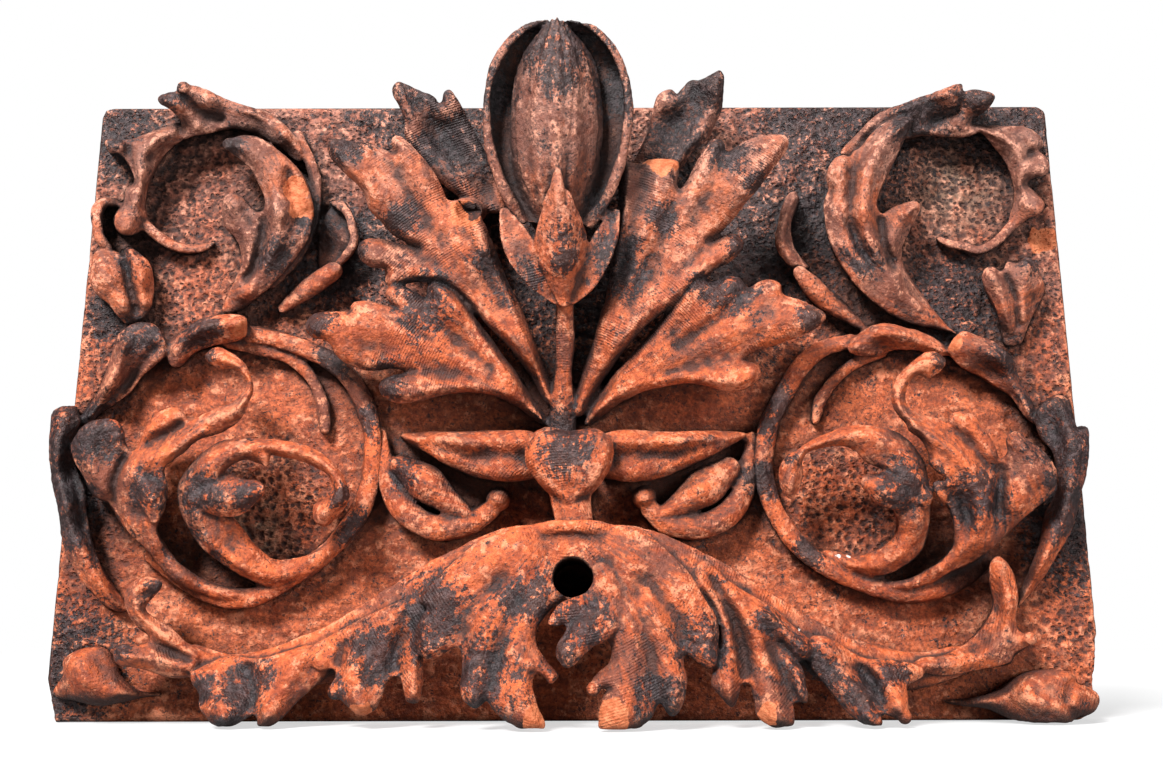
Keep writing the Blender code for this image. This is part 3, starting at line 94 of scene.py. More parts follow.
# Where the cosine of a corner of a free leaf's outline is above TIP_SHARPNESS, a bead of clay this
# far in from it blunts the tip.
TIP_SHARPNESS = 0.25
TIP_INSET = 3.4
TIP_RADIUS = 4.6

# Linear colours of the clay, of what lies on it, and of the shade and highlights painted on it; a pair is for
# the panel's foot and its top.
GROUND_DARK = ((0.27, 0.050, 0.017), (0.17, 0.048, 0.027))
GROUND_LIGHT = ((0.60, 0.136, 0.046), (0.56, 0.180, 0.102))
GROUND_SHADE = ((0.034, 0.011, 0.007), (0.014, 0.007, 0.006))
CARVED_DARK = ((0.22, 0.036, 0.011), (0.13, 0.033, 0.017))
CARVED_LIGHT = ((0.57, 0.118, 0.034), (0.50, 0.132, 0.054))
CARVED_SHADE = (0.016, 0.007, 0.006)
# Pale scuffs and painted highlights on raised places and sharp edges.
SCUFF_AND_HIGHLIGHT = ((0.80, 0.300, 0.160), (0.74, 0.340, 0.225))
BROWN_CLAY = (0.098, 0.034, 0.024)
CRUMB_COLOUR = (0.12, 0.027, 0.012)
GREENISH_DUST = (0.150, 0.115, 0.075)
BROWN_DUST = (0.25, 0.118, 0.088)
# Dirt and painted shade in the punch marks.
PIT_DIRT_AND_SHADE = (0.030, 0.013, 0.011)
# Dirt and painted shade in hollows and creases.
DIRT_AND_SHADE_COLOUR = (0.036, 0.016, 0.013)
SPECK_COLOUR = (0.022, 0.014, 0.014)
LIME_COLOUR = (0.66, 0.60, 0.55)

# The thickest soot and the thinnest, and the darker and lighter clay of a fresh break.
ASH = ((0.008, 0.006, 0.007), (0.052, 0.038, 0.041))
BROKEN_CLAY = ((0.35, 0.078, 0.024), (0.55, 0.170, 0.072))

# How near other clay has to be for painted shade to darken the ground and the carving, in metres.
GROUND_SHADE_REACH = 0.024
CARVED_SHADE_REACH = 0.030

# Punch marks to the metre, and the bump of the finest grain in metres.
PUNCH_SCALE = 345
GRAIN_BUMP = 0.0016

# The photograph's camera.
CAMERA_LENS = 35.13
CAMERA_PITCH = 12.65
CAMERA_ROLL = -0.12

# Ribbons: a kind, then points of (across, up, out, half width).
# The kind sets how round the section is: a positive crown is domed, a negative one is cupped.
# The rooted kinds go down into the ground all along; the others lift off it as they rise.
CROWN = {"stem": 0.55, "boss": 0.8, "roll": 0.8, "band": 0.45, "leaf": -0.22}
ROOTED = ("stem", "boss")

RIBBONS = [
    # Ring stem of the lower left scroll, its inner curl and its spur.
    ("stem", [(-222, 250, 16, 5), (-205, 247, 17, 5.5), (-185, 241, 18, 5.5), (-165, 232, 18, 6),
              (-150, 220, 19, 6), (-140, 205, 20, 6), (-133, 188, 20, 6), (-131, 172, 20, 6),
              (-132, 150, 20, 6), (-137, 133, 20, 6), (-147, 117, 20, 6), (-160, 103, 20, 6),
              (-178, 90, 20, 6), (-205, 76, 20, 6), (-235, 80, 18, 6), (-270, 102, 14, 5)]),
    ("stem", [(-230, 243, 12, 4), (-200, 236, 12, 4), (-185, 230, 12, 4), (-173, 218, 11, 4),
              (-165, 200, 11, 4), (-163, 185, 9, 3)]),
    # Ring stem and inner curl of the lower right scroll.
    ("stem", [(185, 243, 16, 5), (165, 238, 17, 5.5), (150, 225, 18, 6), (138, 207, 19, 6),
              (128, 188, 20, 6), (124, 170, 20, 6), (123, 155, 20, 6), (126, 138, 20, 6),
              (135, 120, 20, 6), (150, 102, 20, 6), (175, 88, 20, 6), (210, 78, 20, 6),
              (240, 84, 18, 6), (262, 98, 14, 5)]),
    ("stem", [(205, 236, 12, 4), (190, 230, 12, 4), (175, 220, 11, 4), (163, 205, 11, 4),
              (158, 190, 9, 3)]),
    # Rolled ends of the leaves in the lower scrolls.
    ("roll", [(-282, 152, 56, 5.5), (-275, 143, 58, 9), (-271, 134, 54, 7.5), (-270, 126, 50, 3)]),
    ("roll", [(-242, 140, 54, 9), (-230, 141, 60, 13.5), (-218, 141, 62, 13), (-208, 144, 60, 7.5)]),
    ("roll", [(-210, 171, 59, 4), (-203, 167, 60, 4), (-201, 162, 58, 2)]),
    ("roll", [(221, 141, 54, 10.5), (210, 143, 60, 13), (199, 145, 62, 11), (192, 148, 60, 6)]),
    # The two boughs that fall from the middle.
    ("band", [(-8, 104, 72, 18), (-40, 98, 72, 22), (-75, 80, 68, 24), (-110, 60, 60, 23),
              (-145, 44, 50, 18), (-180, 33, 42, 14), (-212, 30, 36, 11), (-240, 38, 34, 9)]),
    ("band", [(8, 104, 72, 18), (40, 98, 72, 22), (75, 80, 68, 24), (110, 60, 60, 23),
              (145, 44, 50, 18), (180, 33, 42, 14), (212, 30, 36, 11), (240, 36, 34, 9)]),
    # Collar and neck over the middle.
    ("band", [(-30, 117, 70, 3), (-15, 120, 74, 4), (0, 121, 75, 4), (15, 120, 74, 4),
              (28, 117, 70, 3)]),
    ("stem", [(0, 108, 68, 12), (0, 122, 62, 12), (-2, 136, 58, 13), (-3, 150, 56, 15)]),
    # Little scrolls beside the neck, with their buds.
    ("stem", [(-127, 182, 13, 4), (-124, 168, 18, 5), (-119, 146, 22, 7), (-107, 129, 26, 8),
              (-88, 120, 28, 8), (-68, 122, 28, 7), (-54, 131, 28, 6)]),
    ("boss", [(-113, 160, 26, 7), (-98, 150, 33, 12), (-84, 139, 31, 9), (-72, 131, 29, 5)]),
    ("stem", [(116, 178, 13, 4), (114, 166, 18, 5), (110, 144, 22, 7), (99, 128, 26, 8),
              (80, 120, 28, 8), (60, 122, 28, 7), (49, 131, 28, 6)]),
    ("boss", [(101, 158, 26, 7), (86, 147, 33, 12), (72, 137, 31, 9), (60, 130, 29, 5)]),
    # Palmette stalk, the small bud on it and that bud's two sepals.
    ("stem", [(-8, 186, 30, 9), (-7, 220, 40, 6), (-6, 252, 54, 6), (-6, 280, 68, 6)]),
    ("roll", [(-7, 272, 70, 5), (-8, 286, 80, 12), (-9, 300, 90, 17), (-9, 314, 95, 18),
              (-9, 328, 101, 15), (-10, 342, 105, 10), (-11, 354, 107, 6), (-11, 365, 106, 2)]),
    ("leaf", [(-12, 274, 66, 5), (-24, 288, 74, 9), (-34, 304, 78, 11), (-41, 319, 78, 9),
              (-47, 335, 76, 4)]),
    ("leaf", [(-1, 274, 66, 5), (8, 286, 72, 8), (15, 301, 76, 9), (22, 317, 76, 8),
              (28, 334, 74, 4)]),
    # Great bud and the two shells that hold it.
    ("roll", [(-11, 318, 72, 13), (-12, 344, 88, 25), (-12, 370, 102, 30), (-12, 400, 112, 32),
              (-12, 428, 116, 31), (-12, 452, 118, 25), (-12, 470, 118, 13), (-12, 481, 117, 4)]),
    ("band", [(-36, 331, 74, 5), (-49, 354, 84, 4), (-58, 382, 91, 3.2), (-61, 412, 97, 3),
              (-58, 438, 102, 3), (-48, 460, 107, 3), (-33, 476, 111, 3), (-17, 484, 114, 3)]),
    ("band", [(11, 328, 74, 5), (24, 349, 84, 4), (34, 378, 91, 3.2), (38, 410, 97, 3),
              (35, 438, 102, 3), (26, 460, 107, 3), (11, 476, 111, 3), (-4, 484, 114, 3)]),
    # Upper left scroll: ring stem, edge hook, tail and bud.
    ("stem", [(-192, 392, 14, 4), (-182, 372, 16, 4), (-177, 350, 16, 4), (-179, 325, 16, 4),
              (-188, 303, 15, 4), (-203, 285, 14, 4)]),
    ("stem", [(-313, 342, 12, 2), (-321, 343, 18, 3), (-326, 338, 22, 4), (-326, 329, 22, 3.5),
              (-323, 318, 20, 3), (-317, 310, 16, 2.5)]),
    ("stem", [(-292, 326, 20, 4), (-283, 318, 18, 3.5), (-271, 311, 16, 3), (-258, 309, 14, 3),
              (-249, 311, 12, 2.5), (-245, 313, 10, 1.5)]),
    ("boss", [(-195, 267, 12, 3.5), (-185, 276, 18, 5.5), (-173, 285, 24, 7), (-163, 293, 27, 6.5)]),
    # Upper right scroll: tail and bud.
    ("stem", [(297, 323, 16, 3.5), (287, 313, 16, 3.5), (275, 307, 14, 3), (264, 310, 13, 3),
              (255, 312, 12, 2.5), (248, 315, 10, 1.5)]),
    ("boss", [(153, 291, 28, 5), (161, 281, 26, 7), (173, 269, 20, 6), (186, 259, 15, 4),
              (197, 250, 12, 2)]),
]

# Blades: a crown, an outline of (across, up), a few heights of (across, up, out), and ribs of
# (height, width, line of (across, up)); a rib below zero is a valley.
BLADES = [
    # Middle leaves that hang over the hole, left and right, and the lobe that overlaps them.
    (3, [(-4, 118), (-17, 120), (-29, 121), (-45, 116), (-62, 110), (-74, 101), (-85, 91), (-92, 83),
         (-97, 77), (-98, 72), (-93, 69), (-97, 64), (-100, 56), (-100, 47), (-97, 40), (-91, 37),
         (-84, 39), (-78, 43), (-73, 45), (-71, 39), (-71, 29), (-71, 19), (-68, 12), (-62, 8),
         (-57, 11), (-55, 14), (-51, 8), (-45, 2), (-37, -3), (-29, -6), (-23, -6), (-18, -5), (-18, 0),
         (-22, 8), (-25, 17), (-26, 25), (-24, 29), (-19, 27), (-15, 22), (-11, 25), (-10, 29),
         (-15, 34), (-21, 41), (-24, 49), (-23, 56), (-19, 63), (-13, 70), (-6, 80)],
     [(-10, 105, 70), (-50, 95, 76), (-92, 70, 76), (-90, 42, 76), (-50, 60, 83), (-62, 12, 84),
      (-25, 0, 90)],
     [(3, 10, [(-30, 106), (-70, 86), (-90, 62), (-92, 44)]),
      (3, 9, [(-25, 98), (-50, 74), (-60, 42), (-61, 14)]),
      (3, 9, [(-16, 92), (-36, 62), (-36, 32), (-25, -2)]),
      (2, 5, [(-38, 40), (-26, 34), (-15, 26)]),
      (-3.5, 6, [(-73, 46), (-66, 64), (-46, 88)]),
      (-3.5, 6, [(-55, 14), (-48, 40), (-34, 72)])]),
    (3, [(-6, 118), (11, 121), (29, 121), (43, 118), (55, 110), (66, 99), (76, 85), (83, 73), (89, 64),
         (91, 54), (90, 44), (89, 35), (85, 32), (80, 34), (73, 39), (69, 41), (68, 35), (70, 26),
         (69, 15), (66, 7), (61, 3), (57, 6), (54, 11), (51, 9), (48, 2), (42, -3), (33, -7), (25, -6),
         (17, -6), (15, -1), (16, 7), (19, 15), (21, 19), (15, 20), (10, 17), (11, 24), (15, 30),
         (21, 35), (23, 41), (22, 47), (17, 53), (11, 63), (4, 71), (-3, 80)],
     [(8, 105, 70), (45, 95, 76), (85, 65, 76), (85, 38, 76), (45, 60, 83), (61, 10, 84),
      (24, 0, 90)],
     [(3, 10, [(25, 106), (60, 84), (82, 60), (85, 38)]),
      (3, 9, [(30, 98), (48, 72), (58, 42), (60, 10)]),
      (3, 9, [(26, 86), (36, 58), (34, 28), (26, 0)]),
      (2, 5, [(36, 36), (24, 28), (14, 20)]),
      (-3.5, 6, [(69, 41), (64, 62), (46, 86)]),
      (-3.5, 6, [(54, 11), (48, 38), (40, 76)])]),
    (3, [(16, 97), (12, 94), (13, 89), (10, 82), (1, 76), (-9, 72), (-14, 66), (-17, 59), (-13, 57), (-7, 58),
         (-5, 56), (-8, 51), (-12, 44), (-11, 37), (-6, 32), (-2, 32), (5, 38), (11, 44), (18, 48),
         (24, 53), (30, 63), (33, 73), (29, 85), (22, 95)],
     [(15, 80, 82), (0, 60, 90), (-4, 36, 96)],
     [(3, 8, [(22, 80), (8, 62), (-3, 38)]),
      (-3, 4, [(-7, 57), (4, 64), (14, 76)])]),
    # Bough ends, lobes that hang from the boughs and the buds in the bottom corners.
    (3, [(-226, 39), (-243, 48), (-254, 57), (-264, 63), (-271, 69), (-267, 75), (-262, 82), (-263, 87),
         (-274, 89), (-283, 84), (-286, 76), (-283, 67), (-275, 58), (-268, 53), (-268, 48), (-277, 47),
         (-288, 46), (-289, 39), (-284, 34), (-269, 32), (-253, 27), (-241, 27), (-230, 32)],
     [(-231, 36, 36), (-248, 38, 42), (-262, 53, 46), (-284, 75, 50), (-271, 86, 54), (-286, 41, 50)],
     [(4, 5, [(-239, 41), (-258, 51), (-275, 65), (-280, 78), (-272, 86)]),
      (4, 5, [(-241, 33), (-265, 38), (-284, 40)]),
      (-5, 3, [(-268, 50), (-255, 44), (-242, 38)])]),
    (3, [(-235, 32), (-240, 29), (-239, 23), (-234, 17), (-233, 8), (-225, -1), (-217, -4), (-208, -1),
         (-200, 4), (-197, 2), (-196, -3), (-188, -3), (-179, 4), (-169, 15), (-158, 25), (-153, 33),
         (-156, 44), (-164, 47), (-195, 39), (-217, 40)],
     [(-223, 36, 40), (-236, 26, 50), (-220, 0, 64), (-193, 0, 64), (-178, 19, 54), (-161, 39, 50)],
     [(6, 8, [(-223, 35), (-222, 18), (-217, 0)]),
      (-6, 5, [(-200, 4), (-200, 18), (-204, 32)]),
      (5, 7, [(-171, 38), (-183, 19), (-192, 0)])]),
    (3, [(-164, 46), (-166, 38), (-160, 31), (-151, 32), (-149, 27), (-153, 19), (-151, 14), (-145, 13),
         (-134, 4), (-124, 7), (-119, 16), (-116, 25), (-110, 27), (-106, 19), (-104, 12), (-97, 12),
         (-95, 22), (-95, 40), (-91, 59), (-92, 77), (-118, 70), (-141, 59)],
     [(-158, 44, 52), (-162, 36, 58), (-147, 15, 64), (-133, 7, 68), (-123, 31, 62), (-101, 15, 70),
      (-99, 59, 64)],
     [(6, 7, [(-141, 54), (-138, 33), (-134, 7)]),
      (-7, 5, [(-113, 27), (-111, 44), (-102, 67)]),
      (5, 5, [(-94, 62), (-99, 36), (-100, 13)]),
      (-5, 4, [(-150, 31), (-145, 44), (-141, 53)])]),
    (6, [(-324, 17), (-319, 28), (-319, 38), (-309, 44), (-295, 45), (-287, 36), (-282, 27), (-271, 19),
         (-257, 17), (-271, 14), (-293, 10), (-312, 13)],
     [(-323, 17, 14), (-307, 29, 30), (-295, 41, 22), (-282, 20, 22), (-259, 17, 10)],
     [(4, 8, [(-311, 32), (-300, 23), (-274, 16)])]),
    (3, [(75, 85), (84, 75), (90, 63), (92, 50), (88, 32), (85, 22), (91, 14), (98, 8), (103, 16),
         (104, 22), (110, 22), (112, 12), (113, 4), (120, -2), (128, -5), (136, -3), (137, 6),
         (136, 11), (145, 11), (145, 22), (143, 32), (140, 36), (147, 37), (150, 43), (146, 51),
         (137, 58), (124, 70), (99, 85), (83, 98)],
     [(81, 88, 70), (88, 55, 68), (92, 16, 74), (122, -1, 76), (144, 12, 70), (148, 43, 62),
      (116, 63, 66), (132, 55, 60)],
     [(5, 6, [(84, 85), (95, 63), (97, 38), (96, 12)]),
      (-8, 5, [(107, 22), (105, 45), (96, 71), (87, 87)]),
      (5, 6, [(99, 77), (117, 48), (121, 25), (127, -2)]),
      (-5, 4, [(136, 11), (130, 29), (122, 45)]),
      (4, 5, [(116, 68), (135, 47), (144, 16)]),
      (-5, 3, [(139, 36), (130, 47)]),
      (4, 4, [(124, 65), (147, 42)])]),
    (3, [(145, 38), (149, 30), (159, 17), (169, 5), (178, -2), (188, -7), (191, -1), (190, 4), (197, 2),
         (207, -1), (207, 12), (207, 21), (217, 26), (217, 32), (207, 35), (180, 38), (161, 50),
         (147, 50)],
     [(150, 42, 58), (166, 15, 62), (188, -4, 72), (207, 3, 66), (216, 30, 50), (180, 33, 50)],
     [(5, 7, [(160, 42), (176, 19), (186, -4)]),
      (-6, 5, [(190, 4), (188, 19), (180, 32)]),
      (5, 6, [(187, 33), (201, 15), (206, 1)]),
      (3, 5, [(190, 35), (215, 30)])]),
    (3, [(216, 37), (215, 32), (228, 27), (249, 30), (271, 34), (276, 40), (287, 46), (290, 51),
         (283, 53), (279, 59), (281, 79), (278, 93), (271, 101), (265, 96), (264, 85), (265, 71),
         (259, 59), (248, 48), (234, 40)],
     [(217, 33, 44), (237, 33, 42), (266, 41, 44), (287, 50, 46), (276, 71, 50), (269, 98, 46),
      (252, 50, 30), (265, 71, 32)],
     [(4, 5, [(220, 33), (246, 35), (269, 50), (276, 71), (271, 95)])]),
    (6, [(229, 12), (249, 14), (265, 19), (280, 28), (297, 30), (312, 28), (313, 22), (320, 20),
         (327, 14), (322, 5), (310, 1), (306, -4), (287, -5), (271, 0), (255, 7), (239, 9)],
     [(232, 11, 12), (264, 10, 26), (289, 15, 42), (309, 12, 44), (324, 12, 34)],
     [(4, 8, [(256, 12), (281, 12), (305, 6)]),
      (-5, 3, [(311, 22), (306, 12), (309, 2)])]),
    # Heart at the middle of the panel and the two level leaves behind it.
    (12, [(-3, 183), (-18, 185), (-30, 178), (-32, 163), (-24, 149), (-12, 137), (-3, 131),
          (6, 137), (17, 148), (25, 162), (25, 176), (14, 185)],
     [(-3, 165, 66), (-3, 135, 60)]),
    (6, [(-24, 181), (-70, 182), (-113, 181), (-96, 168), (-76, 157), (-58, 151), (-38, 150),
         (-20, 156)],
     [(-30, 176, 48), (-30, 160, 42), (-70, 176, 44), (-70, 160, 34), (-112, 180, 28)],
     [(3, 5, [(-24, 177), (-70, 176), (-108, 180)]), (-3, 4, [(-28, 166), (-70, 168), (-96, 174)])]),
    (6, [(20, 181), (66, 182), (112, 181), (92, 168), (70, 157), (52, 151), (34, 150),
         (15, 156)],
     [(24, 176, 48), (24, 160, 42), (66, 176, 44), (66, 160, 34), (111, 180, 28)],
     [(3, 5, [(20, 177), (66, 176), (106, 180)]), (-3, 4, [(22, 166), (66, 168), (94, 174)])]),
    # Low pair of palmette leaves.
    (6, [(-18, 191), (-27, 204), (-37, 220), (-49, 236), (-61, 253), (-71, 267), (-81, 279), (-89, 285),
         (-96, 286), (-99, 281), (-99, 274), (-103, 276), (-112, 281), (-120, 283), (-126, 280),
         (-126, 273), (-119, 267), (-128, 269), (-137, 272), (-146, 272), (-150, 269), (-150, 265),
         (-159, 265), (-170, 264), (-177, 260), (-179, 253), (-174, 247), (-164, 244), (-159, 236),
         (-150, 228), (-136, 224), (-120, 225), (-107, 223), (-117, 221), (-126, 218), (-129, 213),
         (-126, 206), (-116, 202), (-103, 203), (-87, 207), (-71, 209), (-55, 207), (-44, 203),
         (-33, 196), (-21, 187)],
     [(-18, 195, 30), (-60, 235, 46), (-90, 280, 58), (-125, 280, 60), (-176, 257, 62),
      (-126, 213, 50), (-70, 212, 44)],
     [(3, 9, [(-22, 195), (-50, 230), (-74, 262), (-93, 280)]),
      (3, 8, [(-28, 196), (-60, 207), (-95, 211), (-124, 213)]),
      (2, 10, [(-44, 208), (-90, 238), (-130, 254), (-172, 256)]),
      (-3, 8, [(-106, 223), (-84, 222), (-58, 214)]),
      (-3, 6, [(-99, 274), (-96, 262), (-78, 244), (-56, 226)]),
      (-2.5, 5, [(-127, 273), (-116, 258), (-96, 246)])]),
    (6, [(7, 189), (12, 201), (22, 215), (33, 229), (47, 245), (59, 259), (69, 272), (76, 283),
         (80, 289), (85, 291), (89, 287), (95, 285), (103, 289), (112, 287), (115, 282), (118, 280),
         (124, 284), (132, 286), (139, 283), (140, 276), (150, 273), (161, 268), (169, 262), (165, 255),
         (149, 247), (135, 241), (123, 237), (112, 231), (121, 228), (124, 222), (121, 216), (111, 210),
         (99, 210), (88, 213), (74, 215), (61, 213), (47, 210), (33, 203), (22, 195), (10, 187)],
     [(12, 195, 30), (55, 235, 46), (83, 286, 58), (110, 284, 60), (162, 262, 62),
      (120, 218, 50), (65, 212, 44)],
     [(3, 9, [(14, 197), (42, 234), (64, 264), (84, 288)]),
      (3, 8, [(20, 195), (56, 213), (90, 216), (120, 221)]),
      (2, 6, [(20, 200), (66, 232), (110, 250), (160, 263)]),
      (-3, 8, [(112, 231), (86, 228), (54, 220)]),
      (-3, 6, [(116, 281), (100, 262), (70, 242)]),
      (2, 5, [(56, 236), (90, 262), (110, 284)])]),
    # Tall pair of palmette leaves.
    (6, [(-12, 199), (-17, 220), (-23, 236), (-30, 253), (-38, 272), (-48, 294), (-56, 314), (-62, 330),
         (-67, 337), (-77, 343), (-87, 344), (-91, 354), (-98, 367), (-108, 379), (-118, 390),
         (-125, 392), (-127, 387), (-125, 379), (-133, 382), (-143, 386), (-157, 388), (-168, 389),
         (-171, 384), (-169, 376), (-160, 366), (-150, 357), (-144, 349), (-140, 337), (-130, 326),
         (-121, 318), (-106, 309), (-119, 312), (-132, 316), (-142, 316), (-147, 310), (-145, 302),
         (-138, 296), (-128, 294), (-127, 285), (-121, 282), (-110, 285), (-98, 285), (-87, 284),
         (-77, 277), (-68, 267), (-58, 255), (-46, 243), (-35, 229), (-26, 215), (-18, 201)],
     [(-12, 202, 32), (-40, 268, 52), (-75, 330, 68), (-115, 372, 76), (-166, 384, 80),
      (-140, 305, 60), (-122, 289, 56)],
     [(4, 8, [(-16, 206), (-32, 250), (-52, 296), (-74, 338)]),
      (2.5, 9, [(-22, 214), (-64, 280), (-96, 336), (-122, 386)]),
      (2.5, 9, [(-34, 232), (-80, 290), (-130, 340), (-165, 382)]),
      (3, 8, [(-46, 246), (-84, 280), (-110, 296), (-142, 307)]),
      (-3, 7, [(-132, 382), (-112, 350), (-84, 306), (-52, 258)]),
      (-3, 6, [(-106, 309), (-86, 294), (-58, 262)]),
      (-2.5, 6, [(-87, 346), (-72, 318), (-48, 272)])]),
    (6, [(-1, 198), (5, 222), (12, 241), (16, 258), (21, 274), (25, 296), (27, 316), (30, 336),
         (31, 351), (31, 364), (34, 370), (40, 371), (43, 369), (50, 373), (61, 375), (72, 372),
         (72, 364), (71, 353), (74, 352), (81, 364), (89, 380), (95, 388), (101, 389), (105, 385),
         (105, 379), (110, 381), (119, 387), (131, 391), (144, 392), (149, 388), (147, 379), (140, 370),
         (129, 355), (115, 338), (103, 323), (93, 314), (102, 318), (110, 319), (115, 314), (114, 307),
         (107, 300), (95, 293), (83, 284), (73, 274), (61, 265), (48, 254), (34, 238), (22, 221),
         (13, 206), (5, 193)],
     [(4, 204, 32), (24, 280, 54), (38, 355, 70), (64, 366, 72), (100, 382, 76),
      (144, 387, 80), (112, 312, 60)],
     [(3, 8, [(3, 206), (20, 280), (37, 366)]),
      (2, 8, [(12, 220), (42, 296), (64, 366)]),
      (-2.5, 6, [(14, 240), (34, 306), (50, 362)]),
      (-3, 6, [(74, 354), (62, 322), (38, 268)]),
      (2.5, 8, [(22, 226), (66, 306), (99, 384)]),
      (2.5, 9, [(26, 230), (84, 312), (144, 388)]),
      (-3, 7, [(105, 380), (86, 342), (56, 288)]),
      (3, 8, [(36, 242), (76, 286), (110, 312)]),
      (-3, 6, [(93, 314), (76, 296), (48, 256)])]),
    # Back pair of palmette leaves.
    (4, [(-48, 336), (-49, 346), (-55, 367), (-63, 382), (-71, 397), (-77, 411), (-83, 421), (-87, 426),
         (-91, 424), (-93, 415), (-99, 422), (-109, 426), (-118, 431), (-124, 433), (-127, 429),
         (-127, 423), (-123, 415), (-118, 403), (-117, 392), (-111, 379), (-101, 366), (-91, 357),
         (-79, 347), (-62, 336)],
     [(-50, 340, 34), (-90, 385, 42), (-123, 428, 56), (-90, 424, 54), (-62, 395, 44)],
     [(-4, 9, [(-62, 352), (-88, 388), (-112, 418)]),
      (2.5, 6, [(-70, 346), (-104, 384), (-123, 426)])]),
    (4, [(32, 341), (36, 360), (45, 379), (52, 396), (55, 412), (58, 422), (64, 426), (69, 426),
         (72, 422), (77, 428), (82, 433), (89, 434), (97, 439), (103, 442), (106, 436), (105, 423),
         (103, 410), (97, 399), (93, 390), (83, 381), (71, 364), (54, 346)],
     [(38, 350, 34), (68, 395, 42), (66, 424, 54), (102, 438, 60), (92, 396, 46)],
     [(-4, 9, [(50, 360), (70, 396), (86, 426)]),
      (2.5, 6, [(58, 356), (90, 398), (102, 436)])]),
    # Cup of the great bud, behind its bulb.
    (-3, [(-38, 330), (-54, 360), (-61, 400), (-58, 435), (-46, 461), (-28, 478), (-12, 483),
          (5, 478), (24, 461), (36, 435), (39, 400), (32, 360), (12, 328)],
     [(-14, 335, 70), (-12, 380, 74), (-12, 430, 80), (-12, 475, 100)]),
    # Lower left scroll: outer leaf, inner leaf, leaves outside the ring and along the edge.
    (4, [(-192, 77), (-212, 74), (-232, 77), (-247, 83), (-259, 91), (-270, 103), (-281, 113),
         (-290, 122), (-297, 132), (-301, 137), (-310, 141), (-318, 153), (-326, 166), (-328, 175),
         (-322, 186), (-312, 191), (-301, 191), (-295, 184), (-293, 175), (-289, 169), (-284, 173),
         (-283, 181), (-279, 189), (-272, 196), (-262, 199), (-256, 195), (-253, 190), (-246, 193),
         (-237, 198), (-227, 202), (-221, 207), (-217, 215), (-220, 221), (-225, 224), (-235, 225),
         (-243, 230), (-245, 235), (-238, 240), (-229, 237), (-219, 229), (-213, 219), (-211, 210),
         (-214, 201), (-218, 191), (-227, 184), (-237, 180), (-246, 177), (-253, 170), (-260, 164),
         (-266, 158), (-263, 149), (-263, 140), (-266, 129), (-268, 119), (-262, 109), (-252, 97),
         (-238, 88), (-220, 82), (-204, 80)],
     [(-194, 78, 20), (-232, 83, 24), (-259, 97, 30), (-277, 112, 36), (-290, 127, 40), (-296, 134, 38),
      (-267, 122, 46), (-282, 141, 52), (-325, 170, 50), (-312, 188, 56), (-293, 164, 48),
      (-271, 194, 57), (-271, 173, 54), (-264, 158, 58), (-245, 185, 57), (-218, 205, 60),
      (-239, 235, 60)],
     [(5, 6, [(-289, 119), (-293, 134), (-293, 149), (-284, 161), (-265, 170), (-245, 179)]),
      (-7, 4, [(-290, 170), (-296, 155), (-298, 135)]),
      (4, 6, [(-320, 179), (-314, 161), (-303, 143)]),
      (-6, 4, [(-254, 190), (-266, 182), (-282, 173)]),
      (3, 4, [(-239, 190), (-222, 199), (-215, 210), (-221, 225), (-236, 233)])]),
    (4, [(-147, 111), (-161, 95), (-179, 85), (-194, 83), (-209, 88), (-224, 97), (-238, 107),
         (-248, 121), (-254, 132), (-257, 147), (-252, 158), (-244, 168), (-232, 176), (-219, 179),
         (-202, 178), (-187, 176), (-172, 172), (-160, 164), (-150, 153), (-145, 141), (-148, 133),
         (-154, 126), (-161, 121), (-167, 125), (-168, 134), (-161, 138), (-157, 143), (-157, 150),
         (-163, 157), (-175, 163), (-187, 166), (-199, 168), (-201, 163), (-205, 162), (-214, 164),
         (-222, 161), (-228, 156), (-229, 149), (-227, 138), (-220, 127), (-213, 119), (-206, 110),
         (-199, 104), (-191, 99), (-180, 100), (-166, 104), (-153, 114)],
     [(-150, 111, 18), (-180, 90, 22), (-201, 87, 26), (-224, 100, 32), (-240, 112, 38),
      (-210, 110, 34), (-250, 129, 46), (-222, 129, 44), (-254, 149, 50), (-231, 155, 58),
      (-232, 171, 55), (-214, 170, 60), (-187, 173, 58), (-159, 158, 58), (-147, 141, 57),
      (-164, 126, 54)],
     [(4, 6, [(-180, 91), (-202, 91), (-225, 104), (-242, 125), (-247, 146), (-235, 164), (-214, 173),
               (-187, 171), (-163, 161), (-151, 143), (-163, 129)])]),
    # Lower right scroll: outer leaf and inner leaf.
    (4, [(181, 86), (196, 81), (211, 80), (226, 84), (238, 90), (254, 97), (270, 109), (283, 120),
         (296, 131), (308, 140), (313, 150), (312, 161), (306, 169), (299, 175), (291, 182), (285, 181),
         (282, 175), (282, 168), (277, 163), (275, 169), (272, 177), (267, 185), (263, 191), (255, 195),
         (247, 193), (245, 187), (241, 190), (230, 193), (221, 197), (218, 204), (219, 212), (227, 220),
         (235, 218), (245, 224), (247, 231), (241, 236), (232, 235), (220, 226), (212, 214), (209, 202),
         (212, 193), (217, 187), (219, 182), (226, 177), (230, 168), (231, 160), (238, 154), (243, 150),
         (233, 148), (236, 138), (241, 132), (244, 121), (243, 109), (236, 100), (226, 93), (214, 87),
         (199, 85)],
     [(190, 83, 20), (220, 84, 26), (251, 97, 32), (277, 117, 40), (303, 138, 48), (233, 105, 40),
      (249, 126, 46), (265, 129, 50), (310, 154, 56), (291, 177, 58), (280, 157, 52), (257, 191, 60),
      (272, 172, 58), (247, 169, 58), (237, 151, 60), (227, 185, 60), (219, 207, 62), (226, 226, 62),
      (244, 230, 60)],
     [(5, 7, [(223, 183), (244, 172), (257, 157), (263, 140), (262, 123), (248, 105)]),
      (-7, 4, [(277, 161), (276, 146), (272, 129)]),
      (4, 7, [(294, 175), (297, 157), (284, 135)]),
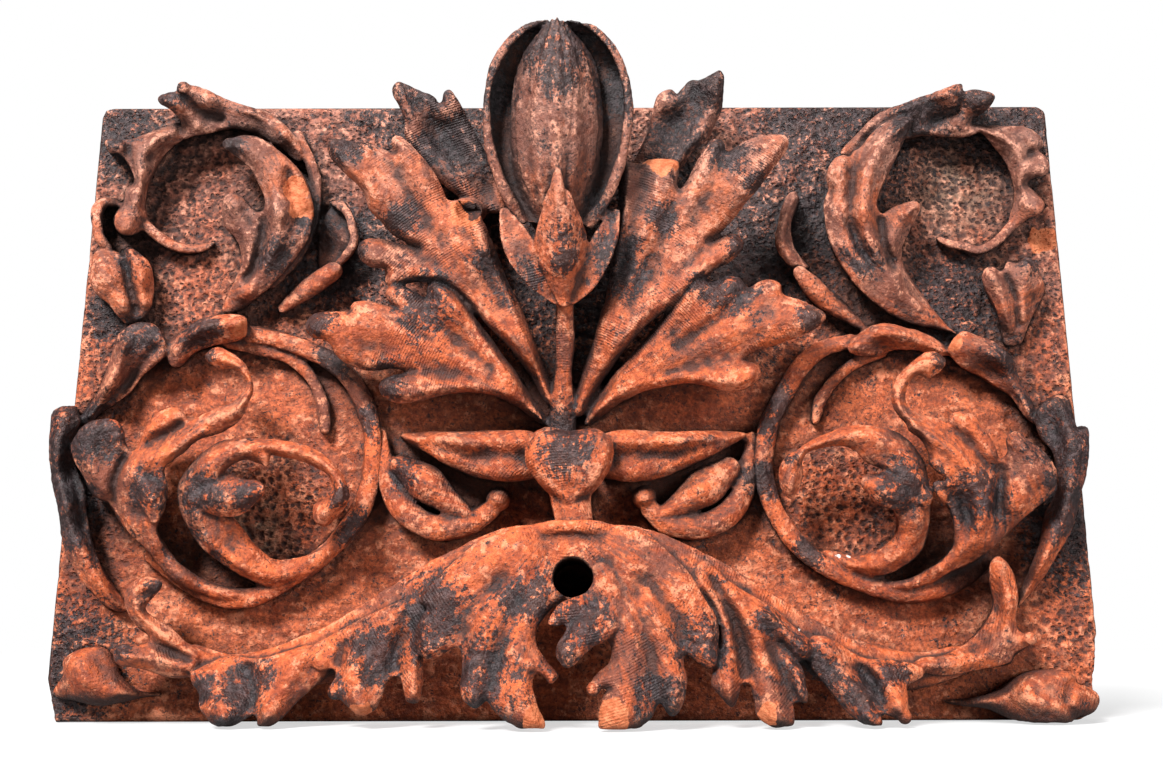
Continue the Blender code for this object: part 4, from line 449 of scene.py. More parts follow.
      (-5, 5, [(245, 185), (257, 175), (268, 160)]),
      (-5, 5, [(233, 146), (245, 141), (252, 129), (252, 115)]),
      (3, 4, [(222, 187), (214, 199), (216, 214), (229, 226), (242, 230)])]),
    (4, [(159, 104), (169, 95), (181, 89), (196, 89), (208, 94), (220, 103), (226, 114), (229, 129),
         (230, 144), (229, 157), (226, 166), (219, 176), (208, 183), (194, 186), (180, 186), (168, 182),
         (155, 176), (145, 169), (139, 166), (134, 159), (133, 149), (136, 142), (140, 138), (146, 145),
         (149, 154), (148, 162), (153, 169), (166, 172), (176, 172), (184, 169), (190, 162), (199, 158),
         (206, 154), (208, 145), (206, 132), (208, 122), (204, 112), (194, 105), (179, 101), (167, 104)],
     [(164, 101, 18), (181, 93, 22), (199, 93, 28), (215, 105, 34), (200, 109, 34), (226, 129, 44),
      (211, 129, 48), (228, 154, 52), (212, 151, 60), (216, 172, 56), (195, 176, 60), (174, 177, 58),
      (150, 168, 54), (140, 148, 52)],
     [(4, 6, [(178, 95), (200, 97), (216, 114), (221, 135), (220, 157), (207, 172), (186, 180),
               (167, 176), (150, 168)]),
      (4, 5, [(141, 160), (140, 145)])]),
    # Leaves on the outside of both rings, and leaves that follow the panel's outer edges.
    (3, [(-324, 191), (-314, 210), (-309, 226), (-306, 238), (-304, 249), (-296, 256), (-286, 257),
         (-278, 253), (-272, 243), (-272, 235), (-279, 228), (-286, 220), (-292, 210), (-301, 202),
         (-311, 195), (-318, 188)],
     [(-321, 192, 14), (-308, 218, 28), (-299, 253, 34), (-277, 249, 34), (-273, 235, 28),
      (-293, 213, 16), (-311, 196, 12)],
     [(5, 5, [(-319, 195), (-305, 219), (-300, 245)]),
      (-5, 4, [(-280, 238), (-290, 223), (-303, 204)])]),
    (4, [(-271, 241), (-265, 248), (-259, 253), (-250, 259), (-238, 262), (-226, 263), (-219, 260),
         (-218, 252), (-220, 247), (-231, 243), (-243, 240), (-252, 236), (-260, 228), (-266, 227),
         (-270, 233)],
     [(-269, 235, 26), (-250, 256, 36), (-227, 260, 34), (-221, 249, 26), (-249, 238, 20)],
     [(4, 6, [(-267, 238), (-253, 251), (-235, 256), (-222, 256)])]),
    (4, [(182, 240), (190, 248), (200, 254), (212, 255), (225, 252), (237, 247), (250, 237), (247, 233),
         (236, 235), (227, 237), (214, 237), (202, 233), (192, 233), (184, 235)],
     [(186, 239, 22), (212, 251, 34), (246, 236, 24), (205, 235, 18)],
     [(4, 6, [(186, 241), (206, 249), (228, 246), (246, 236)])]),
    (3, [(250, 241), (259, 250), (269, 247), (281, 241), (291, 231), (295, 218), (301, 202), (303, 188),
         (297, 191), (289, 204), (278, 212), (267, 220), (256, 226), (250, 233)],
     [(252, 238, 28), (261, 247, 32), (284, 238, 34), (301, 194, 20), (274, 217, 16), (290, 204, 14)],
     [(4, 6, [(252, 239), (271, 237), (286, 223), (299, 197)])]),
    (3, [(-343, 196), (-337, 200), (-329, 198), (-324, 190), (-328, 181), (-328, 172), (-322, 155),
         (-317, 144), (-314, 128), (-307, 107), (-298, 90), (-285, 74), (-282, 68), (-291, 68),
         (-301, 74), (-313, 87), (-323, 102), (-330, 119), (-335, 137), (-340, 152), (-344, 170),
         (-344, 185)],
     [(-335, 197, 34), (-341, 172, 34), (-325, 155, 22), (-331, 134, 32), (-313, 127, 18),
      (-322, 107, 28), (-307, 93, 22), (-287, 70, 14)],
     [(5, 5, [(-336, 195), (-337, 167), (-327, 131), (-314, 102), (-291, 73)]),
      (-4, 3, [(-329, 176), (-322, 149), (-315, 122)])]),
    (3, [(306, 198), (318, 206), (326, 202), (330, 184), (337, 185), (337, 175), (334, 157), (330, 146),
         (325, 134), (319, 117), (309, 102), (298, 87), (285, 72), (280, 70), (283, 79), (291, 94),
         (299, 114), (304, 129), (311, 141), (313, 154), (312, 168), (305, 177), (303, 188)],
     [(323, 202, 28), (334, 175, 38), (308, 182, 24), (325, 150, 34), (305, 132, 20), (319, 129, 32),
      (306, 106, 26), (284, 74, 14)],
     [(5, 6, [(319, 201), (325, 175), (322, 150), (316, 129), (304, 105), (287, 78)])]),
    # Upper left scroll: leaf along the top, leaf down the side, main leaf, tulip and crescent.
    (3, [(-202, 383), (-191, 373), (-184, 379), (-195, 393), (-208, 405), (-221, 412), (-235, 417),
         (-248, 422), (-258, 427), (-266, 430), (-277, 431), (-276, 426), (-285, 425), (-291, 421),
         (-289, 416), (-281, 411), (-274, 403), (-273, 394), (-272, 390), (-264, 392), (-254, 394),
         (-243, 397), (-234, 398), (-220, 394), (-210, 388)],
     [(-191, 378, 16), (-209, 398, 28), (-229, 412, 38), (-256, 424, 42), (-275, 428, 48),
      (-288, 420, 46), (-272, 394, 26), (-254, 397, 26), (-234, 400, 30), (-215, 393, 24)],
     [(3, 4, [(-190, 383), (-208, 401), (-229, 414), (-253, 423)]),
      (-5, 4, [(-278, 425), (-263, 413), (-247, 405)]),
      (3, 5, [(-288, 419), (-273, 408), (-262, 401)])]),
    (3, [(-273, 390), (-274, 399), (-278, 402), (-288, 397), (-296, 394), (-305, 390), (-314, 389),
         (-324, 389), (-325, 385), (-321, 379), (-315, 379), (-309, 372), (-304, 363), (-303, 357),
         (-308, 352), (-309, 342), (-314, 334), (-314, 328), (-310, 321), (-303, 319), (-296, 321),
         (-293, 325), (-288, 325), (-293, 338), (-293, 352), (-291, 363), (-285, 375), (-278, 385)],
     [(-275, 394, 26), (-292, 389, 32), (-322, 386, 36), (-301, 368, 28), (-301, 346, 28),
      (-305, 329, 36), (-290, 327, 16), (-292, 352, 16), (-281, 379, 18)],
     [(5, 5, [(-277, 399), (-290, 390), (-300, 376), (-299, 360), (-300, 344)]),
      (-4, 3, [(-311, 389), (-307, 376), (-303, 360)])]),
    (3, [(-236, 265), (-229, 286), (-225, 298), (-227, 311), (-232, 319), (-238, 326), (-240, 338),
         (-240, 346), (-234, 349), (-226, 345), (-220, 338), (-215, 335), (-212, 338), (-212, 346),
         (-218, 359), (-224, 369), (-235, 378), (-243, 386), (-234, 391), (-222, 391), (-212, 386),
         (-203, 379), (-195, 372), (-188, 364), (-182, 352), (-178, 339), (-178, 327), (-181, 315),
         (-189, 303), (-198, 290), (-213, 274), (-225, 265)],
     [(-231, 266, 14), (-215, 285, 24), (-194, 303, 30), (-204, 311, 38), (-181, 330, 34),
      (-202, 338, 46), (-188, 349, 38), (-206, 372, 44), (-223, 386, 46), (-238, 386, 46),
      (-235, 346, 40), (-229, 325, 32), (-223, 305, 28)],
     [(5, 6, [(-237, 387), (-219, 378), (-207, 361), (-203, 341), (-202, 318), (-210, 297), (-223, 276)]),
      (-7, 4, [(-213, 339), (-211, 325), (-213, 306), (-221, 288)]),
      (4, 5, [(-236, 345), (-228, 329), (-221, 313), (-221, 299)]),
      (-4, 4, [(-197, 365), (-193, 346), (-187, 330)])]),
    (3, [(-324, 307), (-317, 308), (-309, 306), (-305, 303), (-304, 309), (-301, 310), (-295, 306),
         (-288, 300), (-284, 290), (-283, 279), (-284, 268), (-289, 259), (-299, 256), (-305, 261),
         (-312, 270), (-321, 277), (-326, 286), (-326, 297)],
     [(-297, 258, 14), (-304, 272, 24), (-319, 292, 32), (-310, 304, 28), (-294, 288, 28),
      (-300, 307, 30), (-284, 282, 14)],
     [(-6, 3, [(-305, 303), (-301, 288), (-294, 267)]),
      (3, 5, [(-320, 301), (-312, 283), (-300, 264)]),
      (3, 4, [(-300, 307), (-292, 290), (-289, 272)])]),
    (2, [(-168, 342), (-162, 344), (-158, 343), (-152, 335), (-148, 324), (-147, 315), (-150, 306),
         (-159, 296), (-162, 298), (-156, 307), (-152, 315), (-154, 324), (-158, 334)],
     [(-164, 342, 22), (-151, 324, 28), (-150, 311, 26), (-160, 297, 20)]),
    (2, [(-166, 339), (-158, 333), (-154, 324), (-152, 315), (-156, 307), (-162, 298), (-172, 294),
         (-174, 311), (-172, 327)],
     [(-164, 335, 12), (-154, 318, 16), (-169, 311, 5), (-171, 295, 8)]),
    # Upper right scroll: leaf along the top, leaf down the side, main leaf, crescent and tulip.
    (3, [(184, 379), (194, 390), (206, 403), (218, 411), (230, 416), (245, 422), (259, 427), (271, 431),
         (273, 429), (273, 424), (279, 426), (288, 425), (295, 421), (293, 416), (286, 409), (278, 404),
         (277, 399), (282, 394), (270, 390), (256, 390), (243, 391), (232, 389), (221, 386), (210, 380),
         (200, 376), (189, 375)],
     [(186, 379, 12), (209, 402, 26), (231, 414, 36), (267, 427, 46), (291, 421, 46), (278, 399, 26),
      (256, 392, 24), (232, 390, 22), (205, 380, 16)],
     [(3, 4, [(192, 388), (212, 405), (237, 416), (259, 425)]),
      (-5, 4, [(273, 423), (266, 411), (250, 402)]),
      (3, 5, [(291, 420), (279, 409), (264, 399)])]),
    (3, [(282, 394), (277, 399), (288, 398), (301, 398), (314, 397), (322, 392), (325, 384), (322, 380),
         (327, 373), (328, 366), (323, 361), (316, 359), (312, 355), (317, 349), (322, 341), (319, 334),
         (310, 330), (302, 323), (295, 322), (300, 338), (302, 353), (299, 369), (293, 380), (286, 390)],
     [(281, 396, 26), (300, 390, 28), (320, 390, 36), (325, 367, 34), (311, 373, 28), (308, 353, 24),
      (319, 339, 30), (297, 325, 16), (301, 348, 14), (295, 373, 16)],
     [(5, 5, [(282, 396), (299, 390), (308, 376), (308, 359), (308, 342)]),
      (-4, 3, [(321, 379), (314, 376), (306, 367)]),
      (-4, 3, [(312, 355), (306, 350)])]),
    (3, [(256, 248), (241, 252), (229, 254), (219, 257), (209, 264), (196, 275), (187, 287), (180, 299),
         (174, 313), (172, 328), (172, 342), (175, 351), (174, 359), (176, 368), (181, 375), (187, 377),
         (191, 375), (193, 369), (192, 378), (199, 383), (207, 392), (216, 400), (225, 405), (236, 405),
         (235, 398), (230, 389), (225, 379), (220, 370), (216, 362), (212, 353), (208, 342), (210, 334),
         (218, 338), (227, 341), (234, 342), (237, 338), (232, 328), (228, 320), (223, 309), (223, 298),
         (226, 289), (232, 278), (240, 266), (250, 253)],
     [(253, 251, 12), (229, 260, 18), (209, 275, 26), (189, 295, 30), (178, 317, 34), (175, 342, 36),
      (186, 373, 44), (198, 365, 44), (211, 386, 46), (232, 402, 50), (197, 337, 46), (204, 317, 40),
      (232, 339, 42), (220, 320, 34), (218, 295, 26), (232, 272, 18)],
     [(3, 5, [(186, 375), (183, 354), (182, 326), (193, 299), (210, 278)]),
      (6, 6, [(232, 402), (216, 388), (204, 366), (198, 342), (200, 317), (212, 291), (229, 267)]),
      (4, 5, [(233, 340), (220, 325), (215, 308), (219, 291)]),
      (-5, 4, [(193, 370), (191, 348), (190, 326), (198, 304)]),
      (-7, 4, [(209, 335), (209, 317), (216, 295)])]),
    (2, [(149, 349), (154, 345), (152, 337), (149, 328), (148, 319), (150, 308), (155, 300), (159, 295),
         (150, 294), (142, 301), (137, 312), (139, 326), (142, 337)],
     [(151, 347, 22), (142, 323, 28), (144, 306, 26), (155, 296, 22), (147, 320, 20)],
     [(3, 3, [(151, 345), (142, 326), (142, 306), (154, 295)])]),
    (3, [(286, 241), (285, 255), (282, 267), (277, 278), (275, 287), (278, 294), (284, 295), (289, 292),
         (293, 299), (300, 298), (306, 302), (313, 297), (314, 290), (317, 281), (314, 272), (307, 260),
         (301, 248), (297, 241)],
     [(292, 243, 12), (289, 269, 28), (281, 290, 32), (301, 292, 28), (312, 284, 26), (312, 271, 14),
      (301, 259, 18)],
     [(-5, 3, [(290, 292), (295, 276), (297, 255)]),
      (4, 4, [(282, 291), (288, 273), (290, 252)]),
      (4, 4, [(307, 298), (304, 279), (300, 260)])]),
]

# Knobs: (across, up, out to the top, half width, half height).
KNOBS = [
    (-49, 138, 34, 8, 8),
    (45, 139, 34, 8, 8),
    (-72, 336, 72, 13, 10),
    (0, 89, 76, 30, 26),
    (-12, 400, 92, 36, 44),
]


# Fresh breaks, lime, soot, brown stain with painted shade, and greenish dust: (across, up, out, radius) of
# each patch on the drawing.  The torn end of a leaf is in the same form, and the ground's soot has no height
# out.
FRESH = [
    (-222, 252, 30, 7), (254, 244, 28, 7), (-190, 352, 42, 11), (-184, 338, 42, 11), (-24, 0, 88, 10),
    (24, 2, 88, 13), (-74, 337, 72, 13), (60, 373, 72, 13), (120, 4, 74, 8), (-133, 6, 64, 7),
    (212, 8, 62, 7),
    (316, 314, 4, 11),
]
BROKEN_END = (-72, 338, 72, 7.0)
LIME = [(107, 70, 62, 2.5), (142, 55, 52, 2.2), (-62, 45, 84, 1.2),
        (163, 103, 20, 2.4), (169, 102, 20, 3), (175, 102, 20, 2.4), (181, 103, 20, 2)]
SOOT = [
    (-6, 186, 30, 22), (-90, 70, 78, 26), (-60, 30, 84, 30), (-30, 75, 76, 22), (80, 45, 78, 22),
    (5, 62, 88, 20), (55, 12, 84, 18), (-4, 172, 64, 22), (-240, 143, 54, 16), (-275, 145, 52, 16),
    (-325, 185, 33, 30), (-330, 150, 31, 24), (325, 180, 33, 36), (-312, 180, 54, 20),
    (212, 148, 54, 18), (262, 140, 48, 20), (-12, 465, 118, 40), (-165, 385, 76, 26),
    (-110, 430, 50, 30), (-75, 385, 42, 30), (95, 430, 52, 34), (68, 390, 44, 30), (105, 380, 74, 16),
    (30, 300, 58, 26), (-35, 290, 52, 22), (-100, 270, 54, 22), (110, 278, 56, 22),
    (-172, 258, 58, 14), (-126, 216, 48, 14), (160, 262, 58, 14), (-290, 425, 44, 24),
    (285, 425, 44, 26), (235, 405, 46, 20), (-240, 386, 43, 14), (-263, 80, 50, 12),
    (-320, 392, 32, 16), (240, 400, 40, 26), (-205, 20, 58, 20), (-125, 40, 62, 20),
    (150, 30, 66, 20), (180, 15, 64, 18), (-290, 248, 28, 18), (-250, 253, 31, 16),
    (290, 228, 28, 18), (-8, 322, 82, 16), (-165, 150, 20, 10), (-110, 155, 30, 12),
    (-60, 420, 96, 24), (36, 420, 96, 24), (-12, 440, 118, 26), (-160, 232, 18, 14), (-134, 190, 20, 14),
    (128, 200, 20, 26), (123, 150, 20, 16), (150, 102, 20, 12), (-140, 120, 20, 14), (-300, 110, 22, 20),
    (-328, 120, 26, 20), (305, 210, 30, 20), (320, 130, 30, 24), (-305, 60, 20, 16), (-285, 45, 48, 10),
    (-234, 20, 52, 14), (-215, 0, 62, 12), (-150, 20, 62, 12), (-95, 50, 76, 16), (-60, 10, 84, 14),
    (85, 36, 78, 12), (-10, 40, 92, 14), (120, 60, 64, 12), (142, 40, 60, 14), (200, 30, 52, 12),
    (-250, 110, 34, 14), (-230, 95, 30, 12), (-210, 140, 62, 14), (-150, 140, 58, 10), (205, 140, 62, 14),
    (232, 150, 62, 12), (250, 130, 50, 14), (140, 165, 58, 9), (310, 150, 56, 10), (-245, 235, 60, 8),
    (242, 232, 60, 8), (-200, 300, 40, 16), (-178, 330, 18, 20), (195, 300, 40, 16), (-270, 340, 40, 18),
    (265, 345, 40, 16), (-300, 300, 20, 14), (310, 300, 20, 12), (-120, 330, 66, 14), (60, 330, 60, 14),
    (20, 340, 66, 14), (130, 350, 74, 14), (-60, 300, 60, 14), (-150, 310, 58, 10), (112, 310, 58, 10),
    (-90, 284, 58, 10), (84, 286, 58, 10), (-6, 300, 90, 12), (-100, 380, 42, 16), (80, 410, 50, 18),
]
GROUND_SOOT = [
    (-320, 400, 40), (-100, 410, 60), (-70, 375, 40), (190, 405, 70), (310, 395, 40),
    (100, 300, 70), (-150, 300, 40), (-320, 30, 40), (320, 120, 40), (0, 300, 70),
    (160, 330, 40), (-310, 260, 20), (-325, 150, 30), (250, 270, 40),
]


# Brown patches: brown stain, and painted shade on sepals and back leaves that lie deep behind others.
BROWN_AND_SHADE_PATCHES = [
    (-110, 430, 50, 34), (-80, 390, 42, 34), (95, 430, 52, 38), (68, 392, 44, 34), (-48, 400, 96, 40),
    (25, 400, 96, 40), (-55, 360, 84, 26), (32, 356, 80, 26), (-38, 300, 60, 16), (24, 300, 60, 16),
    (-330, 150, 31, 40), (325, 180, 33, 44), (-300, 230, 28, 30), (300, 230, 28, 30), (-240, 385, 40, 30),
    (240, 380, 42, 34), (310, 380, 34, 34), (-310, 370, 30, 26), (-205, 310, 40, 30), (225, 300, 40, 30),
    (-172, 330, 18, 30), (150, 330, 20, 30), (-160, 200, 18, 18), (280, 300, 24, 26),
]
MOSSY = [(-212, 122, 0, 24), (-196, 108, 0, 16), (262, 352, 0, 34)]


def panel_scale():
    """Metres on the block for one millimetre of the drawing, across, out and up."""
    return (BLOCK_WIDTH / DRAWN_WIDTH, RELIEF_HEIGHT / DRAWN_RELIEF, BLOCK_HEIGHT / DRAWN_HEIGHT)


def place(drawn):
    """Take drawn points, as rows of across, up and out, to their real places."""
    drawn = np.atleast_2d(drawn).astype(float)
    nearer = 1.0 - drawn[:, 2] / EYE_OUT
    wide, deep, tall = panel_scale()
    x = (EYE_ACROSS + (drawn[:, 0] - EYE_ACROSS) * nearer) * wide
    z = (EYE_UP + (drawn[:, 1] - EYE_UP) * nearer) * tall
    y = GROUND_Y - drawn[:, 2] * deep
    x = np.clip(x, EDGE_MARGIN - BLOCK_WIDTH / 2, BLOCK_WIDTH / 2 - EDGE_MARGIN)
    z = np.clip(z, EDGE_MARGIN, BLOCK_HEIGHT - EDGE_MARGIN)
    return np.column_stack((x, y, z))


def drawn_from(real):
    """Take real places, as rows of x, y and z, back to the drawing."""
    wide, deep, tall = panel_scale()
    out = (GROUND_Y - real[:, 1]) / deep
    nearer = 1.0 - out / EYE_OUT
    across = EYE_ACROSS + (real[:, 0] / wide - EYE_ACROSS) / nearer
    up = EYE_UP + (real[:, 2] / tall - EYE_UP) / nearer
    return np.column_stack((across, up, out))


def freedom(out):
    """How free of the ground a leaf is where its front stands out by this much, from 0 to 1."""
    return np.clip((np.asarray(out) - FREE_FROM) / FREE_OVER, 0.0, 1.0)


def back_of(out, rooted=False):
    """How far out the back of a leaf is where its front stands out by this much."""
    deep = panel_scale()[1]
    out = np.asarray(out, dtype=float)
    if rooted:
        return np.full_like(out, -ROOT_DEPTH / deep)
    lifted = -ROOT_DEPTH / deep + np.maximum(0.0, out - FREE_FROM) * LIFT
    return np.minimum(out - LEAF_THICKNESS / deep, lifted)


def smooth_curve(points, steps, closed=False):
    """Points along a Catmull-Rom curve through the given ones."""
    pts = np.array(points, dtype=float)
    count = len(pts)
    spans = count if closed else count - 1
    result = []
    for i in range(spans):
        if closed:
            p0, p1, p2, p3 = pts[i - 1], pts[i], pts[(i + 1) % count], pts[(i + 2) % count]
        else:
            p0, p1 = pts[max(i - 1, 0)], pts[i]
            p2, p3 = pts[i + 1], pts[min(i + 2, count - 1)]
        for k in range(steps):
            t = k / steps
            result.append(0.5 * (2 * p1 + (p2 - p0) * t + (2 * p0 - 5 * p1 + 4 * p2 - p3) * t * t
                                 + (3 * p1 - p0 - 3 * p2 + p3) * t ** 3))
    if not closed:
        result.append(pts[-1])
    return np.array(result)


class Clay:
    """Drawn points and faces gathered for one piece."""

    def __init__(self):
        self.points = []
        self.faces = []
        self.count = 0

    def add(self, points, faces):
        self.points.append(np.asarray(points, dtype=float))
        self.faces.extend([tuple(i + self.count for i in face) for face in faces])
        self.count += len(points)

    def mesh(self, name):
        made = bpy.data.meshes.new(name)
        made.from_pydata(place(np.vstack(self.points)).tolist(), [], self.faces)
        return made


def add_ribbon(clay, kind, points, steps=8, across=15):
    """A tapering strip along a line of points, domed or cupped, with rounded ends."""
    line = smooth_curve(points, steps)
    heading = np.gradient(line[:, :2], axis=0)
    heading /= np.linalg.norm(heading, axis=1)[:, None]
    turns = np.radians((85, 70, 50, 25))
    first = [(line[0, :2] - heading[0] * math.sin(t) * line[0, 3], heading[0], line[0, 2],
              math.cos(t) * line[0, 3]) for t in turns]
    last = [(line[-1, :2] + heading[-1] * math.sin(t) * line[-1, 3], heading[-1], line[-1, 2],
             math.cos(t) * line[-1, 3]) for t in turns[::-1]]
    body = [(row[:2], way, row[2], row[3]) for row, way in zip(line, heading)]
    deep = panel_scale()[1]
    rim = LEAF_RIM / deep
    s = np.linspace(-1, 1, across)
    rings = []
    for middle, way, out, half in first + body + last:
        at = middle[None, :] + np.array((-way[1], way[0]))[None, :] * (half * s)[:, None]
        top = out - CROWN[kind] * half * s * s
        freed = 0.0 if kind in ROOTED else float(freedom(out))
        depth = max(0.0, out - float(back_of(out, kind in ROOTED)) - rim)
        under = top - rim - depth * (1 - freed * s * s)
        front = np.column_stack((at, top))
        back = np.column_stack((at, under))[::-1]
        rings.append(np.vstack((front, back)))
    size = 2 * across
    faces = []
    for i in range(len(rings) - 1):
        for k in range(size):
            nxt = (k + 1) % size
            faces.append((i * size + k, i * size + nxt, (i + 1) * size + nxt, (i + 1) * size + k))
    faces.append(tuple(range(size - 1, -1, -1)))
    end = (len(rings) - 1) * size
    faces.append(tuple(end + k for k in range(size)))
    clay.add(np.vstack(rings), faces)


def inside(points, outline):
    """Which points lie inside a closed outline."""
    x, y = points[:, 0], points[:, 1]
    hit = np.zeros(len(points), dtype=bool)
    for (x0, y0), (x1, y1) in zip(outline, np.roll(outline, -1, axis=0)):
        cross = (y0 > y) != (y1 > y)
        reach = np.where(cross, (x1 - x0) * (y - y0) / (y1 - y0 if y1 != y0 else 1e-9) + x0, -1e9)
        hit ^= cross & (x < reach)
    return hit


def line_distance(points, line, closed=False):
    """Distance from each point to a line of points."""
    best = np.full(len(points), 1e9)
    ends = np.roll(line, -1, axis=0) if closed else line[1:]
    for a, b in zip(line, ends):
        span = b - a
        share = np.clip(((points - a) @ span) / max(span @ span, 1e-9), 0, 1)
        best = np.minimum(best, np.linalg.norm(points - a - share[:, None] * span, axis=1))
    return best


def height_at(points, heights):
    """Smooth height at each point from a few known heights."""
    known = np.array(heights, dtype=float)
    gap = np.linalg.norm(points[:, None, :] - known[None, :, :2], axis=2)
    weight = 1.0 / (gap ** 2 + 60.0) ** 1.5
    return (weight * known[:, 2]).sum(axis=1) / weight.sum(axis=1)


def add_blade(clay, crown, outline, heights, ribs=(), steps=6, grid=1.7):
    """A leaf of a drawn outline, with its rim turned down and its back lifting off the ground."""
    edge = smooth_curve(outline, steps, closed=True)
    low, high = edge.min(axis=0), edge.max(axis=0)
    gx, gy = np.meshgrid(np.arange(low[0], high[0], grid), np.arange(low[1], high[1], grid))
    inner = np.column_stack((gx.ravel(), gy.ravel()))
    inner = inner[inside(inner, edge)]
    inner = inner[line_distance(inner, edge, True) > 0.5 * grid]
    everything = np.vstack((edge, inner))
    count = len(edge)
    loops = [(i, (i + 1) % count) for i in range(count)]
    verts, _, faces, *_ = delaunay_2d_cdt(
        [Vector(p) for p in everything], loops, [list(range(count))], 1, 1e-5)
    flat = np.array([tuple(v) for v in verts])
    distance = line_distance(flat, edge, True)
    roll = np.clip(1 - distance / RIM_REACH, 0, 1)
    turned = np.clip(1 - distance / TURN_REACH, 0, 1)
    front = height_at(flat, heights) - crown * turned ** 2
    edge_ease = np.clip(distance / RIB_EASE, 0, 1)
    for height, width, line in ribs:
        gap = line_distance(flat, smooth_curve(line, 5))
        front += height * edge_ease * np.exp(-(gap / width) ** 2)
    deep = panel_scale()[1]
    rim = LEAF_RIM / deep
    depth = np.maximum(0.0, front - back_of(front) - rim)
    thinned = freedom(front) * (1 - np.sqrt(np.clip(1 - roll ** 2, 0, 1)))
    under = front - rim - depth * (1 - thinned)
    size = len(flat)
    made = [tuple(tri) for tri in faces] + [tuple(size + i for i in reversed(tri)) for tri in faces]
    border = {(a, b) for tri in faces for a, b in zip(tri, tri[1:] + tri[:1])}
    for a, b in sorted(border):
        if (b, a) not in border:
            made.append((b, a, size + a, size + b))
    clay.add(np.vstack((np.column_stack((flat, front)), np.column_stack((flat, under)))), made)
    for tip, way in zip(*tips_of(outline)):
        at = tip + way * TIP_INSET
        out = float(height_at(at[None, :], heights)[0])
        if out > FREE_FROM:
            add_bead(clay, at[0], at[1], out - TIP_RADIUS / 2, TIP_RADIUS)


def tips_of(outline):
    """The sharp outward corners of a closed outline, each with the way in from it."""
    pts = np.array(outline, dtype=float)
    before, after = np.roll(pts, 1, axis=0) - pts, np.roll(pts, -1, axis=0) - pts
    area = np.sum(pts[:, 0] * np.roll(pts[:, 1], -1) - pts[:, 1] * np.roll(pts[:, 0], -1))
    turn = (before[:, 1] * after[:, 0] - before[:, 0] * after[:, 1]) * area
    before /= np.linalg.norm(before, axis=1)[:, None]
    after /= np.linalg.norm(after, axis=1)[:, None]
    sharp = ((before * after).sum(axis=1) > TIP_SHARPNESS) & (turn > 0)
    way = before[sharp] + after[sharp]
    return pts[sharp], way / np.linalg.norm(way, axis=1)[:, None]


def add_bead(clay, across, up, out, radius, rows=10, columns=16):
    """A small bead of clay."""
    lean = np.pi * np.arange(1, rows) / rows - np.pi / 2
    turn = 2 * np.pi * np.arange(columns) / columns
    rings = [np.column_stack((across + radius * math.cos(a) * np.cos(turn),
                              up + radius * math.cos(a) * np.sin(turn),
                              np.full(columns, out + radius * math.sin(a)))) for a in lean]
    faces = []
    for i in range(rows - 2):
        for k in range(columns):
            nxt = (k + 1) % columns
            faces.append((i * columns + k, i * columns + nxt, (i + 1) * columns + nxt,
                          (i + 1) * columns + k))
    faces.append(tuple(range(columns - 1, -1, -1)))
    faces.append(tuple((rows - 2) * columns + k for k in range(columns)))
    clay.add(np.vstack(rings), faces)


def add_knob(clay, across, up, out, half_width, half_height, rows=20, columns=32):
    """A domed knob that stands on the ground."""
    reach = (out + ROOT_DEPTH / panel_scale()[1]) / 2
    lean = np.pi * np.arange(1, rows) / rows - np.pi / 2
    turn = 2 * np.pi * np.arange(columns) / columns
    rings = [np.column_stack((across + half_width * math.cos(a) * np.cos(turn),
                              up + half_height * math.cos(a) * np.sin(turn),
                              np.full(columns, out - reach + reach * math.sin(a)))) for a in lean]
    points = np.vstack(rings + [np.array([(across, up, out - 2 * reach), (across, up, out)])])
    faces = []
    for i in range(rows - 2):
        for k in range(columns):
            nxt = (k + 1) % columns
            faces.append((i * columns + k, i * columns + nxt, (i + 1) * columns + nxt,
                          (i + 1) * columns + k))
    low, high = len(points) - 2, len(points) - 1
    top = (rows - 2) * columns
    for k in range(columns):
        nxt = (k + 1) % columns
        faces.append((low, nxt, k))
        faces.append((high, top + k, top + nxt))
    clay.add(points, faces)


def value_noise(points, cell, seed):
    """Smooth noise from 0 to 1 at each point, with features of the given size."""
    grid = points / cell
    base = np.floor(grid).astype(np.int64)
    part = grid - base
    part = part * part * (3 - 2 * part)
    total = np.zeros(len(points))
    for corner in range(8):
        step = np.array((corner & 1, (corner >> 1) & 1, corner >> 2))
        at = base + step
        mixed = at[:, 0] * 73856093 ^ at[:, 1] * 19349663 ^ at[:, 2] * 83492791 ^ seed * 2654435761
        mixed = (mixed ^ (mixed >> 13)) * 1274126177 & 0x7FFFFFFF
        value = (mixed ^ (mixed >> 16)) % 65536 / 65535.0
        share = np.prod(np.where(step == 1, part, 1 - part), axis=1)
        total += value * share
    return total


def pits(points, pitch, seed):
    """Distance from each flat point to the nearest punch mark, in pitches, up to about 1."""
    grid = points / pitch
    base = np.floor(grid).astype(np.int64)
    best = np.full(len(points), 9.0)
    for dx in (-1, 0, 1):
        for dz in (-1, 0, 1):
            at = base + (dx, dz)
            mixed = at[:, 0] * 73856093 ^ at[:, 1] * 19349663 ^ seed * 83492791
            mixed = (mixed ^ (mixed >> 13)) * 1274126177 & 0x7FFFFFFF
            jx = (mixed % 1024) / 1023.0
            jz = ((mixed >> 10) % 1024) / 1023.0
            mark = at + 0.5 + 0.95 * np.column_stack((jx - 0.5, jz - 0.5))
            best = np.minimum(best, np.linalg.norm(grid - mark, axis=1))
    return best


def coordinates(mesh):
    """The mesh's points as rows."""
    flat = np.empty(len(mesh.vertices) * 3)
    mesh.vertices.foreach_get("co", flat)
    return flat.reshape(-1, 3)


